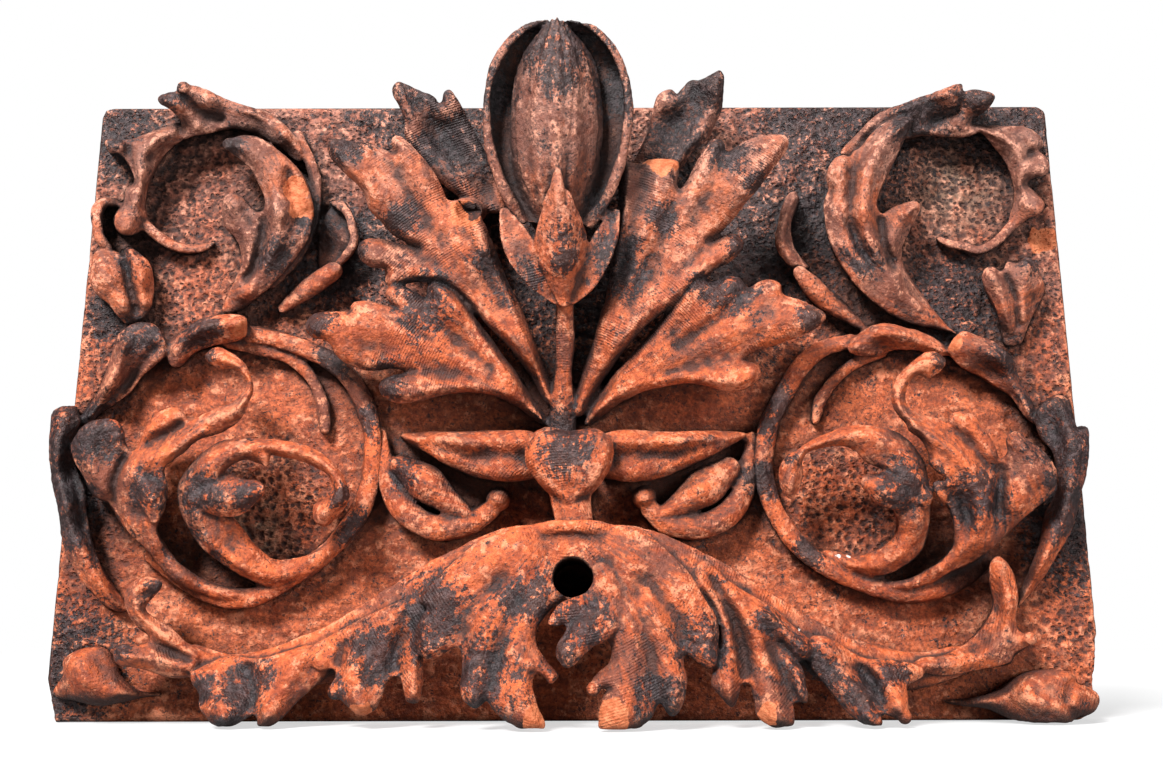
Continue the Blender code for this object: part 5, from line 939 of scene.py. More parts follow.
def normals(mesh):
    """The normals at the mesh's points as rows."""
    flat = np.empty(len(mesh.vertices) * 3)
    mesh.vertices.foreach_get("normal", flat)
    return flat.reshape(-1, 3)


def set_coordinates(mesh, rows):
    """Put the mesh's points where the rows say."""
    mesh.vertices.foreach_set("co", rows.ravel())
    mesh.update()


def patches(drawn, spots):
    """How strongly each drawn point lies in the given patches, from 0 to 1."""
    total = np.zeros(len(drawn))
    for across, up, out, radius in spots:
        gap = np.linalg.norm((drawn - (across, up, out)) * (1, 1, 0.6), axis=1)
        total = np.maximum(total, np.clip(1.4 - gap / radius, 0, 1))
    return total


def hollowness(mesh, rounds=6):
    """How hollow the surface is at each point, in metres; raised places are negative."""
    rows = coordinates(mesh)
    ends = np.empty(len(mesh.edges) * 2, dtype=np.int64)
    mesh.edges.foreach_get("vertices", ends)
    ends = ends.reshape(-1, 2)
    degree = np.bincount(ends.ravel(), minlength=len(rows)).astype(float)
    eased = rows.copy()
    for _ in range(rounds):
        total = np.zeros_like(eased)
        for axis in range(3):
            total[:, axis] = (np.bincount(ends[:, 0], eased[ends[:, 1], axis], len(rows))
                              + np.bincount(ends[:, 1], eased[ends[:, 0], axis], len(rows)))
        eased = total / np.maximum(degree, 1)[:, None]
    return ((eased - rows) * normals(mesh)).sum(axis=1)


def store(mesh, name, values):
    """Keep a value for each point of the mesh."""
    layer = mesh.attributes.new(name, "FLOAT", "POINT")
    layer.data.foreach_set("value", values.astype(np.float32))


def run_modifiers(obj):
    """Work the object's modifiers into its mesh."""
    graph = bpy.context.evaluated_depsgraph_get()
    made = bpy.data.meshes.new_from_object(obj.evaluated_get(graph))
    old = obj.data
    obj.modifiers.clear()
    obj.data = made
    bpy.data.meshes.remove(old)


def hole_cutter():
    """A round bar that stands where the hole goes."""
    bm = bmesh.new()
    bmesh.ops.create_cone(bm, cap_ends=True, segments=48, radius1=HOLE_RADIUS,
                          radius2=HOLE_RADIUS, depth=HOLE_DEPTH)
    mesh = bpy.data.meshes.new("hole")
    bm.to_mesh(mesh)
    bm.free()
    cutter = bpy.data.objects.new("hole", mesh)
    bpy.context.scene.collection.objects.link(cutter)
    mouth = place((-1, 89, 80))[0]
    turned = Matrix.Rotation(math.pi / 2, 4, "X")
    cutter.matrix_world = Matrix.Translation((mouth[0], mouth[1] - 0.02 + HOLE_DEPTH / 2, mouth[2])) @ turned
    return cutter


def bore(obj):
    """Cut the round hole through an object."""
    cutter = hole_cutter()
    step = obj.modifiers.new("hole", "BOOLEAN")
    step.operation = "DIFFERENCE"
    step.solver = "MANIFOLD"
    step.object = cutter
    run_modifiers(obj)
    bpy.data.objects.remove(cutter, do_unlink=True)


def flutes(rows):
    """Shallow lengthwise flutes down the great bud, in metres."""
    drawn = drawn_from(rows)
    swell = np.interp(drawn[:, 1], (345, 372, 400, 428, 452, 475), (20, 27, 30, 28, 21, 8))
    share = (drawn[:, 0] + 12) / swell
    on_bud = (np.abs(share) < 0.96) & (drawn[:, 2] > 82) & (drawn[:, 1] > 340)
    wave = np.cos(share * 13.0 + 0.6 * np.sin(drawn[:, 1] * 0.05))
    fold = -0.8 * np.exp(-((share - 0.42 - 0.1 * np.sin(drawn[:, 1] * 0.03)) / 0.05) ** 2)
    return np.where(on_bud, 0.0007 * wave + 0.001 * fold, 0.0)


def skin_of(name, clay, triangles):
    """One closed skin over the gathered clay, eased, roughened and thinned."""
    obj = bpy.data.objects.new(name, clay.mesh(name))
    bpy.context.scene.collection.objects.link(obj)
    skin = obj.modifiers.new("skin", "REMESH")
    skin.mode = "VOXEL"
    skin.voxel_size = SKIN_CELL
    ease = obj.modifiers.new("ease", "SMOOTH")
    ease.factor = 0.5
    ease.iterations = 3
    run_modifiers(obj)
    rows = coordinates(obj.data)
    way = normals(obj.data)
    rough = (0.0016 * (value_noise(rows, 0.018, 3) - 0.5)
             + 0.0006 * (value_noise(rows, 0.006, 5) - 0.5)
             + 0.0006 * (value_noise(rows, 0.0028, 7) - 0.5))
    if name == "great_bud":
        rough += flutes(rows)
    moved = rows + way * rough[:, None]
    if name == "palmette":
        drawn = drawn_from(rows)
        gap = np.hypot(drawn[:, 0] - BROKEN_END[0], drawn[:, 1] - BROKEN_END[1]) / BROKEN_END[3]
        fronted = drawn[:, 2] > BROKEN_END[2] - 12
        moved[:, 1] += np.where(fronted, 0.015 * np.clip(1.3 - gap, 0, 1) ** 0.5 * (gap < 1.3), 0)
    set_coordinates(obj.data, moved)
    if name == "middle_leaves":
        bore(obj)
    count = sum(len(p.vertices) - 2 for p in obj.data.polygons)
    thin = obj.modifiers.new("thin", "DECIMATE")
    thin.ratio = min(1.0, triangles / count)
    run_modifiers(obj)
    return obj


def tooled(name, drawn):
    """How far along and across its leaf each drawn point lies, for streaks and tool marks."""
    if name == "great_bud":
        return drawn[:, 1], drawn[:, 0]
    if "scroll" in name:
        centre = (200.0, 125.0) if "lower" in name else (258.0, 350.0)
        away = np.column_stack((np.abs(drawn[:, 0]) - centre[0], drawn[:, 1] - centre[1]))
        return 60.0 * np.arctan2(away[:, 1], away[:, 0]), np.hypot(away[:, 0], away[:, 1])
    root = np.where(drawn[:, 1] > 186, 190.0, 125.0)
    away = np.column_stack((drawn[:, 0] + 6, drawn[:, 1] - root))
    return np.hypot(away[:, 0], away[:, 1]), 70.0 * np.arctan2(away[:, 0], np.abs(away[:, 1]))


def colour_carving(obj):
    """Keep soot, fresh breaks, lime, brown stain with painted shade, dirt with painted shade in hollows, and
    how raised the surface is, at each point of a carved piece.
    """
    mesh = obj.data
    drawn = drawn_from(coordinates(mesh))
    hollow = hollowness(mesh)
    broad = hollowness(mesh, 30)
    store(mesh, "soot", patches(drawn, SOOT))
    store(mesh, "fresh", patches(drawn, FRESH))
    store(mesh, "lime", patches(drawn, LIME))
    # Hollow places, darkened by dirt and painted shade.
    store(mesh, "dirt_and_shade", np.clip(hollow / 0.0005, 0, 1) + np.clip(broad / 0.004, 0, 1))
    # How raised each place is, for pale scuffs with painted highlights and for thinner soot.
    store(mesh, "worn", np.clip(-hollow / 0.0006, 0, 1))
    along, across = tooled(obj.name, drawn)
    store(mesh, "along", along)
    store(mesh, "across", across)
    # Brown patches of brown stain and painted shade.
    store(mesh, "brown_and_shade", patches(drawn, BROWN_AND_SHADE_PATCHES))
    combed = {"palmette": 1.0, "middle_leaves": 0.7}
    store(mesh, "combed", np.full(len(drawn), combed.get(obj.name, 0.0)))
    mesh.shade_smooth()


def terracotta(ground=False):
    """Fired clay: mottled orange under dust, soot, dirt and a few fresh breaks, with painted shade where
    other clay is near and in hollows and creases, and painted highlights on raised places and sharp edges.
    """
    material = bpy.data.materials.new("terracotta_ground" if ground else "terracotta_carving")
    material.use_nodes = True
    nodes = material.node_tree.nodes
    links = material.node_tree.links
    shader = nodes["Principled BSDF"]
    shader.inputs["Metallic"].default_value = 0.0
    shader.inputs["IOR"].default_value = 1.5
    shader.inputs["Specular IOR Level"].default_value = 0.32
    where = nodes.new("ShaderNodeTexCoord").outputs["Object"]

    def noise(scale, detail=5.0, rough=0.6, distortion=0.0):
        node = nodes.new("ShaderNodeTexNoise")
        node.inputs["Scale"].default_value = scale
        node.inputs["Detail"].default_value = detail
        node.inputs["Roughness"].default_value = rough
        node.inputs["Distortion"].default_value = distortion
        links.new(where, node.inputs["Vector"])
        return node.outputs["Fac"]

    def ramp(value, low, high, start=0.0, end=1.0):
        node = nodes.new("ShaderNodeMapRange")
        node.interpolation_type = "SMOOTHSTEP"
        node.inputs["From Min"].default_value = low
        node.inputs["From Max"].default_value = high
        node.inputs["To Min"].default_value = start
        node.inputs["To Max"].default_value = end
        links.new(value, node.inputs["Value"])
        return node.outputs["Result"]

    def maths(operation, a, b=0.0):
        node = nodes.new("ShaderNodeMath")
        node.operation = operation
        for socket, value in zip(node.inputs, (a, b)):
            if isinstance(value, (int, float)):
                socket.default_value = value
            else:
                links.new(value, socket)
        return node.outputs["Value"]

    def total(*terms):
        value = maths("MULTIPLY", terms[0][0], terms[0][1])
        for source, weight in terms[1:]:
            value = maths("ADD", value, maths("MULTIPLY", source, weight))
        return value

    def kept(name):
        node = nodes.new("ShaderNodeAttribute")
        node.attribute_name = name
        return node.outputs["Fac"]

    def blend(share, below, above):
        node = nodes.new("ShaderNodeMix")
        node.data_type = "RGBA"
        for socket, value in ((node.inputs["Factor"], share), (node.inputs[6], below),
                              (node.inputs[7], above)):
            if isinstance(value, tuple):
                socket.default_value = (*value, 1.0)
            elif isinstance(value, (int, float)):
                socket.default_value = value
            else:
                links.new(value, socket)
        return node.outputs[2]

    def punch_marks():
        """Small round marks in leaning rows, 1 in the middle of each."""
        bent = nodes.new("ShaderNodeVectorMath")
        bent.operation = "MULTIPLY_ADD"
        wander = nodes.new("ShaderNodeTexNoise")
        wander.inputs["Scale"].default_value = 70
        links.new(where, wander.inputs["Vector"])
        links.new(wander.outputs["Color"], bent.inputs[0])
        bent.inputs[1].default_value = (0.006, 0.006, 0.006)
        links.new(where, bent.inputs[2])
        turned = nodes.new("ShaderNodeMapping")
        turned.inputs["Rotation"].default_value = (0.0, 0.6, 0.0)
        turned.inputs["Scale"].default_value = (0.72, 1.0, 1.0)
        links.new(bent.outputs["Vector"], turned.inputs["Vector"])
        marks = nodes.new("ShaderNodeTexVoronoi")
        marks.inputs["Scale"].default_value = PUNCH_SCALE
        marks.inputs["Randomness"].default_value = 0.6
        links.new(turned.outputs["Vector"], marks.inputs["Vector"])
        return ramp(marks.outputs["Distance"], 0.42, 0.20)

    def streaks():
        """Noise drawn out along each leaf."""
        way = nodes.new("ShaderNodeCombineXYZ")
        links.new(maths("MULTIPLY", kept("across"), 0.28), way.inputs["X"])
        links.new(maths("MULTIPLY", kept("along"), 0.05), way.inputs["Y"])
        drawn = nodes.new("ShaderNodeTexNoise")
        drawn.inputs["Scale"].default_value = 1.0
        drawn.inputs["Detail"].default_value = 5.0
        drawn.inputs["Roughness"].default_value = 0.65
        drawn.inputs["Distortion"].default_value = 0.6
        links.new(way.outputs["Vector"], drawn.inputs["Vector"])
        return drawn.outputs[0]

    # Painted shade: the clay darkens towards the shade colours below where other clay is near, as if in
    # shadow.
    hidden = nodes.new("ShaderNodeAmbientOcclusion")
    hidden.samples = 6
    hidden.inputs["Distance"].default_value = GROUND_SHADE_REACH if ground else CARVED_SHADE_REACH
    if ground:
        buried = ramp(hidden.outputs["AO"], 0.78, 0.30)
    else:
        buried = ramp(hidden.outputs["AO"], 0.91, 0.40)

    bend = nodes.new("ShaderNodeNewGeometry").outputs["Pointiness"]
    mottle = total((noise(30, 6, 0.7), 1.0), (noise(150, 5, 0.7), 1.0), (noise(520, 3, 0.6), 0.5))
    lofty = ramp(total((height_share(nodes, links, where), 1.0), (noise(14, 4), 0.5)), 0.75, 1.15)
    if ground:
        dark = blend(lofty, *GROUND_DARK)
        light = blend(lofty, *GROUND_LIGHT)
    else:
        dark = blend(lofty, *CARVED_DARK)
        light = blend(lofty, *CARVED_LIGHT)
    clay = blend(ramp(mottle, 0.98, 1.50), dark, light)
    if ground:
        pit = maths("MULTIPLY", punch_marks(), kept("punched"))
        pitted = maths("MULTIPLY", pit, ramp(noise(40, 4, 0.7), 0.38, 0.56, 0.35, 1.0))
    if ground:
        brown = ramp(total((noise(19, 5, 0.7), 1.0), (noise(110, 5, 0.75), 0.9)), 0.87, 1.08)
    else:
        streak = streaks()
        # Brown blotches and streaks, and the brown patches of stain and painted shade.
        brown = ramp(total((noise(19, 5, 0.7), 1.0), (noise(110, 5, 0.75), 0.5), (streak, 0.7),
                           (kept("brown_and_shade"), 0.34)), 1.02, 1.26)
    if ground:
        brown = maths("MULTIPLY", brown, ramp(kept("punched"), 0.1, 0.9, 0.12, 1.0))
    clay = blend(maths("MULTIPLY", brown, 0.80), clay, BROWN_CLAY)
    if ground:
        crumb = ramp(total((noise(420, 4, 0.7), 1.0), (noise(70, 4, 0.7), 0.5)), 0.68, 0.82)
        clay = blend(maths("MULTIPLY", crumb, 0.62), clay, CRUMB_COLOUR)
        green = maths("MULTIPLY", kept("mossy"), ramp(noise(60, 5, 0.7), 0.40, 0.55, 0.2, 0.85))
        clay = blend(green, clay, GREENISH_DUST)
    high = total((noise(12, 3), 0.35), (height_share(nodes, links, where), 0.5))
    dusty = maths("MULTIPLY", ramp(high, 0.40, 0.68), ramp(noise(60, 6, 0.7), 0.36, 0.62))
    clay = blend(maths("MULTIPLY", dusty, 0.65), clay, BROWN_DUST)
    # Pale scuffs and painted highlights: lighter on raised places and on sharp edges.
    pale = maths("MULTIPLY", ramp(total((noise(46, 6, 0.7), 1.0), (noise(240, 4, 0.7), 0.9)), 0.95, 1.09),
                 ramp(kept("worn"), 0.0, 0.7, 0.30, 1.0))
    sharp = maths("MULTIPLY", ramp(bend, 0.515, 0.575), ramp(noise(75, 4, 0.7), 0.38, 0.56))
    pale = maths("MAXIMUM", pale, sharp)
    scuff_and_highlight_colour = blend(lofty, *SCUFF_AND_HIGHLIGHT)
    clay = blend(maths("MULTIPLY", pale, 0.58), clay, scuff_and_highlight_colour)
    if ground:
        # The punch marks darkened by dirt and painted shade in the pits.
        clay = blend(maths("MULTIPLY", pitted, 0.88), clay, PIT_DIRT_AND_SHADE)
    # Dirt and painted shade: darker where the surface is hollow or creased.
    dirt_and_shade = maths("MULTIPLY", kept("dirt_and_shade"), ramp(noise(90, 4), 0.3, 0.6, 0.45, 1.0))
    dirt_and_shade = maths("MAXIMUM", dirt_and_shade, ramp(bend, 0.480, 0.425))
    clay = blend(maths("MULTIPLY", maths("MINIMUM", dirt_and_shade, 1.0), 0.88), clay, DIRT_AND_SHADE_COLOUR)
    # Painted shade in hollows, under and between parts; on the ground it is thinner near the panel's foot.
    shade = blend(lofty, *GROUND_SHADE) if ground else CARVED_SHADE
    if ground:
        low = ramp(height_share(nodes, links, where), 0.06, 0.26, 0.30, 0.94)
        buried = maths("MULTIPLY", buried, low)
    else:
        buried = maths("MULTIPLY", buried, 0.94)
    clay = blend(buried, clay, shade)
    if ground:
        cloud = total((noise(26, 6, 0.74), 1.7), (noise(95, 6, 0.78), 2.9), (noise(380, 4, 0.75), 2.9))
    else:
        cloud = total((noise(26, 6, 0.74), 1.9), (noise(95, 6, 0.78), 2.0), (noise(380, 4, 0.75), 2.2),
                      (streak, 1.4))
    sooty = total((cloud, 1.0), (kept("soot"), 1.3 if ground else 1.0), (kept("worn"), -0.10))
    soot = ramp(sooty, 4.14, 4.42)
    ash = blend(ramp(noise(240, 5, 0.75), 0.46, 0.66), *ASH)
    clay = blend(maths("MULTIPLY", soot, 0.92), clay, ash)
    specks = ramp(total((noise(620, 2, 0.5), 1.0), (noise(60, 4, 0.7), 0.6)), 0.93, 0.99)
    clay = blend(maths("MULTIPLY", specks, 0.72), clay, SPECK_COLOUR)
    fresh = ramp(total((kept("fresh"), 1.0), (noise(45, 4, 0.6), 1.6), (noise(210, 3), 0.5)), 1.52, 1.60)
    broken = blend(ramp(noise(170, 5, 0.7), 0.35, 0.65), *BROKEN_CLAY)
    clay = blend(fresh, clay, broken)
    lime = ramp(total((kept("lime"), 1.0), (noise(190, 4, 0.7), 2.0)), 1.55, 1.75)
    clay = blend(lime, clay, LIME_COLOUR)
    links.new(clay, shader.inputs["Base Color"])
    links.new(ramp(soot, 0.0, 1.0, 0.70, 0.50), shader.inputs["Roughness"])
    grain = total((noise(900, 3), 0.45), (noise(320, 4), 1.3), (noise(130, 4), 1.2))
    if not ground:
        stroke = maths("SINE", total((kept("along"), 3.5), (noise(45, 3), 14.0)))
        marks = maths("MULTIPLY", stroke, ramp(noise(26, 3), 0.44, 0.60, 0.0, 0.13))
        grain = maths("ADD", grain, maths("MULTIPLY", marks, kept("combed")))
    else:
        grain = maths("SUBTRACT", grain, maths("MULTIPLY", pit, 0.9))
    bump = nodes.new("ShaderNodeBump")
    bump.inputs["Strength"].default_value = 0.9
    bump.inputs["Distance"].default_value = GRAIN_BUMP
    links.new(grain, bump.inputs["Height"])
    links.new(bump.outputs["Normal"], shader.inputs["Normal"])
    return material


def height_share(nodes, links, where):
    """How high up the panel the surface lies, from 0 at its foot to 1 at its top."""
    parts = nodes.new("ShaderNodeSeparateXYZ")
    links.new(where, parts.inputs[0])
    share = nodes.new("ShaderNodeMath")
    share.operation = "DIVIDE"
    share.inputs[1].default_value = BLOCK_HEIGHT
    links.new(parts.outputs["Z"], share.inputs[0])
    return share.outputs["Value"]


def worn_sides(z):
    """How far the left and right front edges are worn in at each height, in metres."""
    low = np.clip(1 - z / 0.026, 0, 1)
    left = 0.007 * low + np.clip(z - (BLOCK_HEIGHT - 0.007), 0, 1)
    chip = np.clip(1 - np.abs(z - 0.020) / 0.032, 0, 1)
    foot = np.clip(1 - z / 0.007, 0, 1)
    right = 0.007 * chip ** 0.7 + 0.013 * foot + np.clip(z - (BLOCK_HEIGHT - 0.005), 0, 1)
    rough = value_noise(np.column_stack((z, z * 0, z * 0)), 0.009, 21) - 0.5
    other = value_noise(np.column_stack((z, z * 0, z * 0)), 0.007, 23) - 0.5
    return left + np.clip(0.0016 * rough, 0, 1), right + np.clip(0.0016 * other, 0, 1)


def punched_share(u, v):
    """How thickly the ground is punched at each drawn point, from 0 to 1."""
    upper = np.clip((v - 205) / 50, 0, 1)
    outer = np.clip((np.abs(u) - 275) / 30, 0, 1)
    curl = np.zeros(len(u))
    for centre in ((-195, 128), (178, 132)):
        curl = np.maximum(curl, np.clip((62 - np.hypot(u - centre[0], v - centre[1])) / 14, 0, 1))
    return np.maximum(0.12, np.maximum.reduce((upper, outer, 0.8 * curl)))


def ground_relief(real, buried):
    """How far the ground stands out at each point of the front, in metres."""
    u = real[:, 0] / panel_scale()[0]
    v = real[:, 2] / panel_scale()[2]
    flat = np.column_stack((u, v))
    warp = np.column_stack((real[:, 0], real[:, 2], real[:, 0] * 0))
    bend = np.column_stack((value_noise(warp, 0.012, 31), value_noise(warp, 0.012, 32))) - 0.5
    marks = pits(flat + 2.4 * bend, 4.2, 41)
    depth = 0.0013 * np.clip(1 - marks / 0.6, 0, 1) ** 0.7
    smooth = 1 - punched_share(u, v)
    sparse = np.zeros(len(real))
    for centre in ((-195, 128), (178, 132)):
        sparse = np.maximum(sparse, np.clip((36 - np.hypot(u - centre[0], v - centre[1])) / 8, 0, 1))
    few_marks = pits(flat + 2.0 * bend, 6.4, 47)
    depth = depth * (1 - sparse) + 0.003 * np.clip(1 - few_marks / 0.32, 0, 1) ** 0.6 * sparse
    scratch = value_noise(np.column_stack((u * 0.35 + v * 0.2, v, u * 0)), 2.6, 51) - 0.5
    stand = -depth * (1 - 0.9 * smooth) + 0.0010 * scratch * (0.4 + smooth)
    lumps = (0.0026 * (value_noise(warp, 0.012, 57) - 0.5) + 0.0026 * (value_noise(warp, 0.0055, 58) - 0.5)
             + 0.0010 * (value_noise(warp, 0.0026, 59) - 0.5))
    stand += lumps * (1 - 0.5 * sparse) * (1 - 0.6 * smooth) + 0.0022 * (value_noise(warp, 0.03, 53) - 0.5)
    for centre, radius, dish in (((-258, 350), 42, 0.005), ((262, 350), 42, 0.005),
                                 ((-195, 125), 36, 0.004), ((185, 125), 40, 0.004)):
        near = np.hypot(u - centre[0], v - centre[1]) / radius
        stand -= dish * np.clip(1 - near ** 2, 0, 1)
    return np.where(buried, -0.001, stand)


def block_mesh(carved):
    """The squared block: punched ground in front, worn edges, plain sides and back."""
    across = int(round(BLOCK_WIDTH / GROUND_PITCH))
    upward = int(round(BLOCK_HEIGHT / GROUND_PITCH))
    s = np.linspace(0, 1, across + 1)
    z = np.linspace(0, BLOCK_HEIGHT, upward + 1)
    left, right = worn_sides(z)
    grid_x = (-BLOCK_WIDTH / 2 + left)[:, None] + s[None, :] * (BLOCK_WIDTH - left - right)[:, None]
    grid_z = np.repeat(z[:, None], across + 1, axis=1)
    front = np.column_stack((grid_x.ravel(), np.full(grid_x.size, GROUND_Y), grid_z.ravel()))
    tree = BVHTree.FromPolygons(carved[0], carved[1])
    ahead = Vector((0.0, -1.0, 0.0))
    buried = np.zeros(len(front), dtype=bool)
    for i, point in enumerate(front):
        hit = tree.ray_cast(Vector(point) + ahead * 0.0005, ahead)
        buried[i] = hit[0] is not None and hit[1].y < 0
    edge = np.minimum.reduce((front[:, 0] + BLOCK_WIDTH / 2, BLOCK_WIDTH / 2 - front[:, 0],
                              front[:, 2], BLOCK_HEIGHT - front[:, 2]))
    stand = ground_relief(front, buried)
    rounding = np.clip(1 - edge / 0.004, 0, 1) ** 2 * 0.003
    front[:, 1] -= np.minimum(stand, 0.003) * np.clip(edge / 0.004, 0, 1) - rounding
    width = across + 1
    faces = []
    for j in range(upward):
        for i in range(across):
            a = j * width + i
            faces.append((a, a + 1, a + 1 + width, a + width))
    rim = ([i for i in range(width)]
           + [j * width + across for j in range(1, upward + 1)]
           + [upward * width + i for i in range(across - 1, -1, -1)]
           + [j * width for j in range(upward - 1, 0, -1)])
    points = [front]
    loops = [rim]
    total = len(front)
    depths = np.concatenate((np.linspace(0.0015, WEAR_DEPTH, 24),
                             np.linspace(WEAR_DEPTH, BACK_Y - GROUND_Y, 20)[1:]))
    rim_rows = front[rim]
    square = rim_rows.copy()
    square[:, 0] = np.where(square[:, 0] < 0, np.where(np.isin(rim, np.arange(0, total, width)),
                            -BLOCK_WIDTH / 2, square[:, 0]), square[:, 0])
    on_right = np.isin(rim, np.arange(across, total, width))
    square[:, 0] = np.where(on_right, BLOCK_WIDTH / 2, square[:, 0])
    for depth in depths:
        share = min(1.0, depth / WEAR_DEPTH) ** 0.7
        ring = rim_rows * (1 - share) + square * share
        ring[:, 1] = GROUND_Y + np.maximum(depth, rim_rows[:, 1] - GROUND_Y + 0.0002)
        rough = 0.0007 * (value_noise(ring, 0.006, 61) - 0.2) + 0.0005 * value_noise(ring, 0.0025, 63)
        inward = np.column_stack((np.sign(ring[:, 0]) * (np.abs(ring[:, 0]) > BLOCK_WIDTH / 2 - 0.02),
                                  ring[:, 0] * 0,
                                  np.where(ring[:, 2] > BLOCK_HEIGHT - 0.0005, 1,
                                           np.where(ring[:, 2] < 0.0005, -1, 0))))
        ring -= inward * np.clip(rough, 0, 1)[:, None] * (1.0 if depth < depths[-1] else 0.0)
        loops.append(list(range(total, total + len(ring))))
        points.append(ring)
        total += len(ring)
    for a, b in zip(loops, loops[1:]):
        for k in range(len(a)):
            nxt = (k + 1) % len(a)
            faces.append((a[nxt], a[k], b[k], b[nxt]))
    faces.append(tuple(loops[-1][::-1]))
    mesh = bpy.data.meshes.new("block")
    mesh.from_pydata(np.vstack(points).tolist(), [], faces)
    return mesh


def make_block(pieces, triangles):
    """The block with its ground, thinned where the carving hides it."""
    corners = []
    polygons = []
    for obj in pieces:
        start = len(corners)
        corners.extend(coordinates(obj.data).tolist())
        polygons.extend([[start + i for i in p.vertices] for p in obj.data.polygons])
    obj = bpy.data.objects.new("block", block_mesh((corners, polygons)))
    bpy.context.scene.collection.objects.link(obj)
    bore(obj)
    count = sum(len(p.vertices) - 2 for p in obj.data.polygons)
    thin = obj.modifiers.new("thin", "DECIMATE")
    thin.ratio = min(1.0, triangles / count)
    run_modifiers(obj)
    mesh = obj.data
    rows = coordinates(mesh)
    drawn = drawn_from(rows)
    hollow = hollowness(mesh, 3)
    sooted = [(a, b, 0.0, r) for a, b, r in GROUND_SOOT]
    store(mesh, "soot", patches(drawn, sooted) * 0.8)
    store(mesh, "fresh", patches(drawn, FRESH))
    store(mesh, "lime", patches(drawn, LIME))
    punched = punched_share(drawn[:, 0], drawn[:, 1])
    # Hollow places and pits, darkened by dirt and painted shade.
    store(mesh, "dirt_and_shade", np.clip(hollow / 0.00035, 0, 1.2) * (0.35 + 0.65 * punched))
    # How raised each place is, for pale scuffs with painted highlights and for thinner soot.
    store(mesh, "worn", np.clip(-hollow / 0.0004, 0, 1))
    store(mesh, "punched", punched)
    store(mesh, "mossy", np.clip(patches(drawn, MOSSY), 0, 1))
    mesh.shade_smooth()
    return obj


def middle_of(points):
    """The middle of an element's points on the drawing."""
    rows = np.array([p[:2] for p in points], dtype=float)
    return rows.mean(axis=0)


def piece_of(points):
    """Which piece an element belongs to, by where it lies on the drawing."""
    across, up = middle_of(points)
    side = "left" if across < 0 else "right"
    if abs(across) < 48 and up > 340 or abs(across) < 30 and up > 290:
        return "great_bud"
    if abs(across) > 185 and up > 262 or abs(across) > 138 and up > 290:
        return "upper_scroll_" + side
    if abs(across) > 118 and up > 75:
        return "lower_scroll_" + side
    if up > 186:
        return "palmette"
    return "middle_leaves"


BUDGETS = {"lower_scroll_left": 130000, "lower_scroll_right": 130000, "upper_scroll_left": 80000,
           "upper_scroll_right": 80000, "middle_leaves": 170000, "palmette": 130000,
           "great_bud": 75000, "block": 195000}


def make_carving():
    """Every carved piece, each under one skin."""
    clays = {}
    for kind, points in RIBBONS:
        add_ribbon(clays.setdefault(piece_of(points), Clay()), kind, points)
    for blade in BLADES:
        add_blade(clays.setdefault(piece_of(blade[1]), Clay()), *blade)
    for knob in KNOBS:
        add_knob(clays.setdefault(piece_of([knob]), Clay()), *knob)
    pieces = []
    for name in sorted(clays):
        pieces.append(skin_of(name, clays[name], BUDGETS[name]))
    return pieces


def make_camera():
    """The photograph's own viewpoint, low in front of the panel and tilted up."""
    data = bpy.data.cameras.new("camera")
    data.lens = CAMERA_LENS
    data.sensor_width = 36.0
    camera = bpy.data.objects.new("camera", data)
    bpy.context.scene.collection.objects.link(camera)
    wide, deep, tall = panel_scale()
    spot = Matrix.Translation((EYE_ACROSS * wide, GROUND_Y - EYE_OUT * deep, EYE_UP * tall))
    tilt = Matrix.Rotation(math.radians(90 + CAMERA_PITCH), 4, "X")
    roll = Matrix.Rotation(math.radians(CAMERA_ROLL), 4, "Z")
    camera.matrix_world = spot @ tilt @ roll
    bpy.context.scene.camera = camera


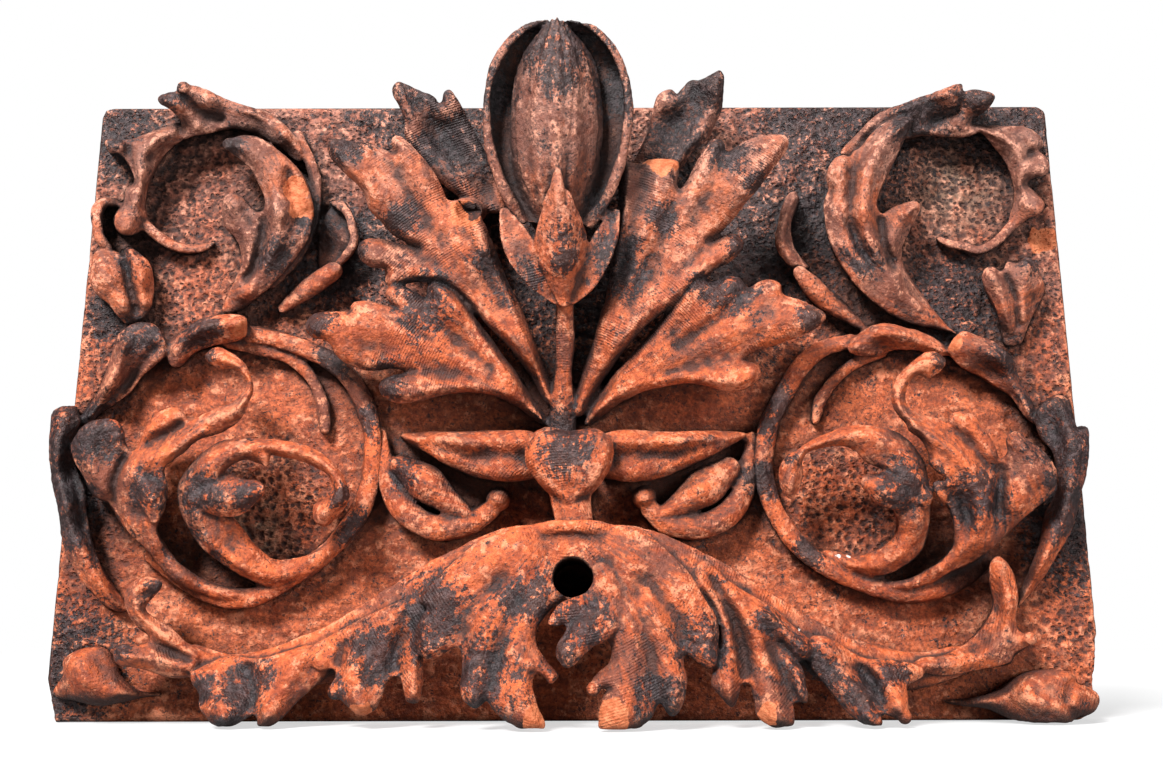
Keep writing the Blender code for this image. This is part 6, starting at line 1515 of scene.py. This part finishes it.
def make_floor():
    """A plain pale floor under the panel."""
    bm = bmesh.new()
    bmesh.ops.create_grid(bm, x_segments=1, y_segments=1, size=8.0)
    mesh = bpy.data.meshes.new("floor")
    bm.to_mesh(mesh)
    bm.free()
    floor = bpy.data.objects.new("floor", mesh)
    bpy.context.scene.collection.objects.link(floor)
    floor.location.z = -0.0005
    material = bpy.data.materials.new("pale_floor")
    material.use_nodes = True
    nodes = material.node_tree.nodes
    links = material.node_tree.links
    shader = nodes["Principled BSDF"]
    shader.inputs["Base Color"].default_value = (0.30, 0.30, 0.30, 1.0)
    shader.inputs["Roughness"].default_value = 0.9
    shader.inputs["Emission Color"].default_value = (1.0, 1.0, 1.0, 1.0)
    where = nodes.new("ShaderNodeTexCoord").outputs["Object"]
    away = nodes.new("ShaderNodeVectorMath")
    away.operation = "LENGTH"
    links.new(where, away.inputs[0])
    glow = nodes.new("ShaderNodeMapRange")
    for socket, value in (("From Min", 0.35), ("From Max", 1.1), ("To Min", 0.62), ("To Max", 1.0)):
        glow.inputs[socket].default_value = value
    links.new(away.outputs["Value"], glow.inputs["Value"])
    path = nodes.new("ShaderNodeLightPath")
    seen = nodes.new("ShaderNodeMath")
    seen.operation = "MULTIPLY"
    links.new(glow.outputs["Result"], seen.inputs[0])
    links.new(path.outputs["Is Camera Ray"], seen.inputs[1])
    links.new(seen.outputs["Value"], shader.inputs["Emission Strength"])
    mesh.materials.append(material)


def add_light(name, place_at, aim, size, power):
    """A soft square lamp that looks at a point."""
    data = bpy.data.lights.new(name, "AREA")
    data.size = size
    data.energy = power
    lamp = bpy.data.objects.new(name, data)
    bpy.context.scene.collection.objects.link(lamp)
    lamp.location = place_at
    lamp.rotation_euler = (Vector(aim) - Vector(place_at)).to_track_quat("-Z", "Y").to_euler()


def make_light():
    """White surroundings and soft studio lamps."""
    world = bpy.data.worlds.new("white")
    bpy.context.scene.world = world
    world.use_nodes = True
    nodes = world.node_tree.nodes
    links = world.node_tree.links
    seen = nodes["Background"]
    seen.inputs["Color"].default_value = (1.0, 1.0, 1.0, 1.0)
    seen.inputs["Strength"].default_value = 1.0
    fill = nodes.new("ShaderNodeBackground")
    fill.inputs["Color"].default_value = (1.0, 1.0, 1.0, 1.0)
    fill.inputs["Strength"].default_value = 0.05
    path = nodes.new("ShaderNodeLightPath")
    pick = nodes.new("ShaderNodeMixShader")
    links.new(path.outputs["Is Camera Ray"], pick.inputs["Fac"])
    links.new(fill.outputs["Background"], pick.inputs[1])
    links.new(seen.outputs["Background"], pick.inputs[2])
    links.new(pick.outputs["Shader"], nodes["World Output"].inputs["Surface"])
    middle = (0.0, GROUND_Y, BLOCK_HEIGHT / 2)
    add_light("key", (-0.75, -1.7, 1.28), middle, 0.5, 104)
    add_light("other_side", (1.3, -1.6, 0.45), middle, 0.8, 22)
    add_light("overhead", (0.1, -0.8, 2.1), (0.0, -0.2, 0.2), 0.9, 22)
    bpy.context.scene.view_settings.view_transform = "Standard"


def main():
    pieces = make_carving()
    block = make_block(pieces, BUDGETS["block"])
    carved_clay = terracotta()
    ground_clay = terracotta(ground=True)
    for obj in pieces:
        colour_carving(obj)
        obj.data.materials.clear()
        obj.data.materials.append(carved_clay)
    block.data.materials.clear()
    block.data.materials.append(ground_clay)
    for obj in pieces + [block]:
        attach(obj, "root")
        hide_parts(NODE)
    make_camera()
    make_floor()
    make_light()


main()
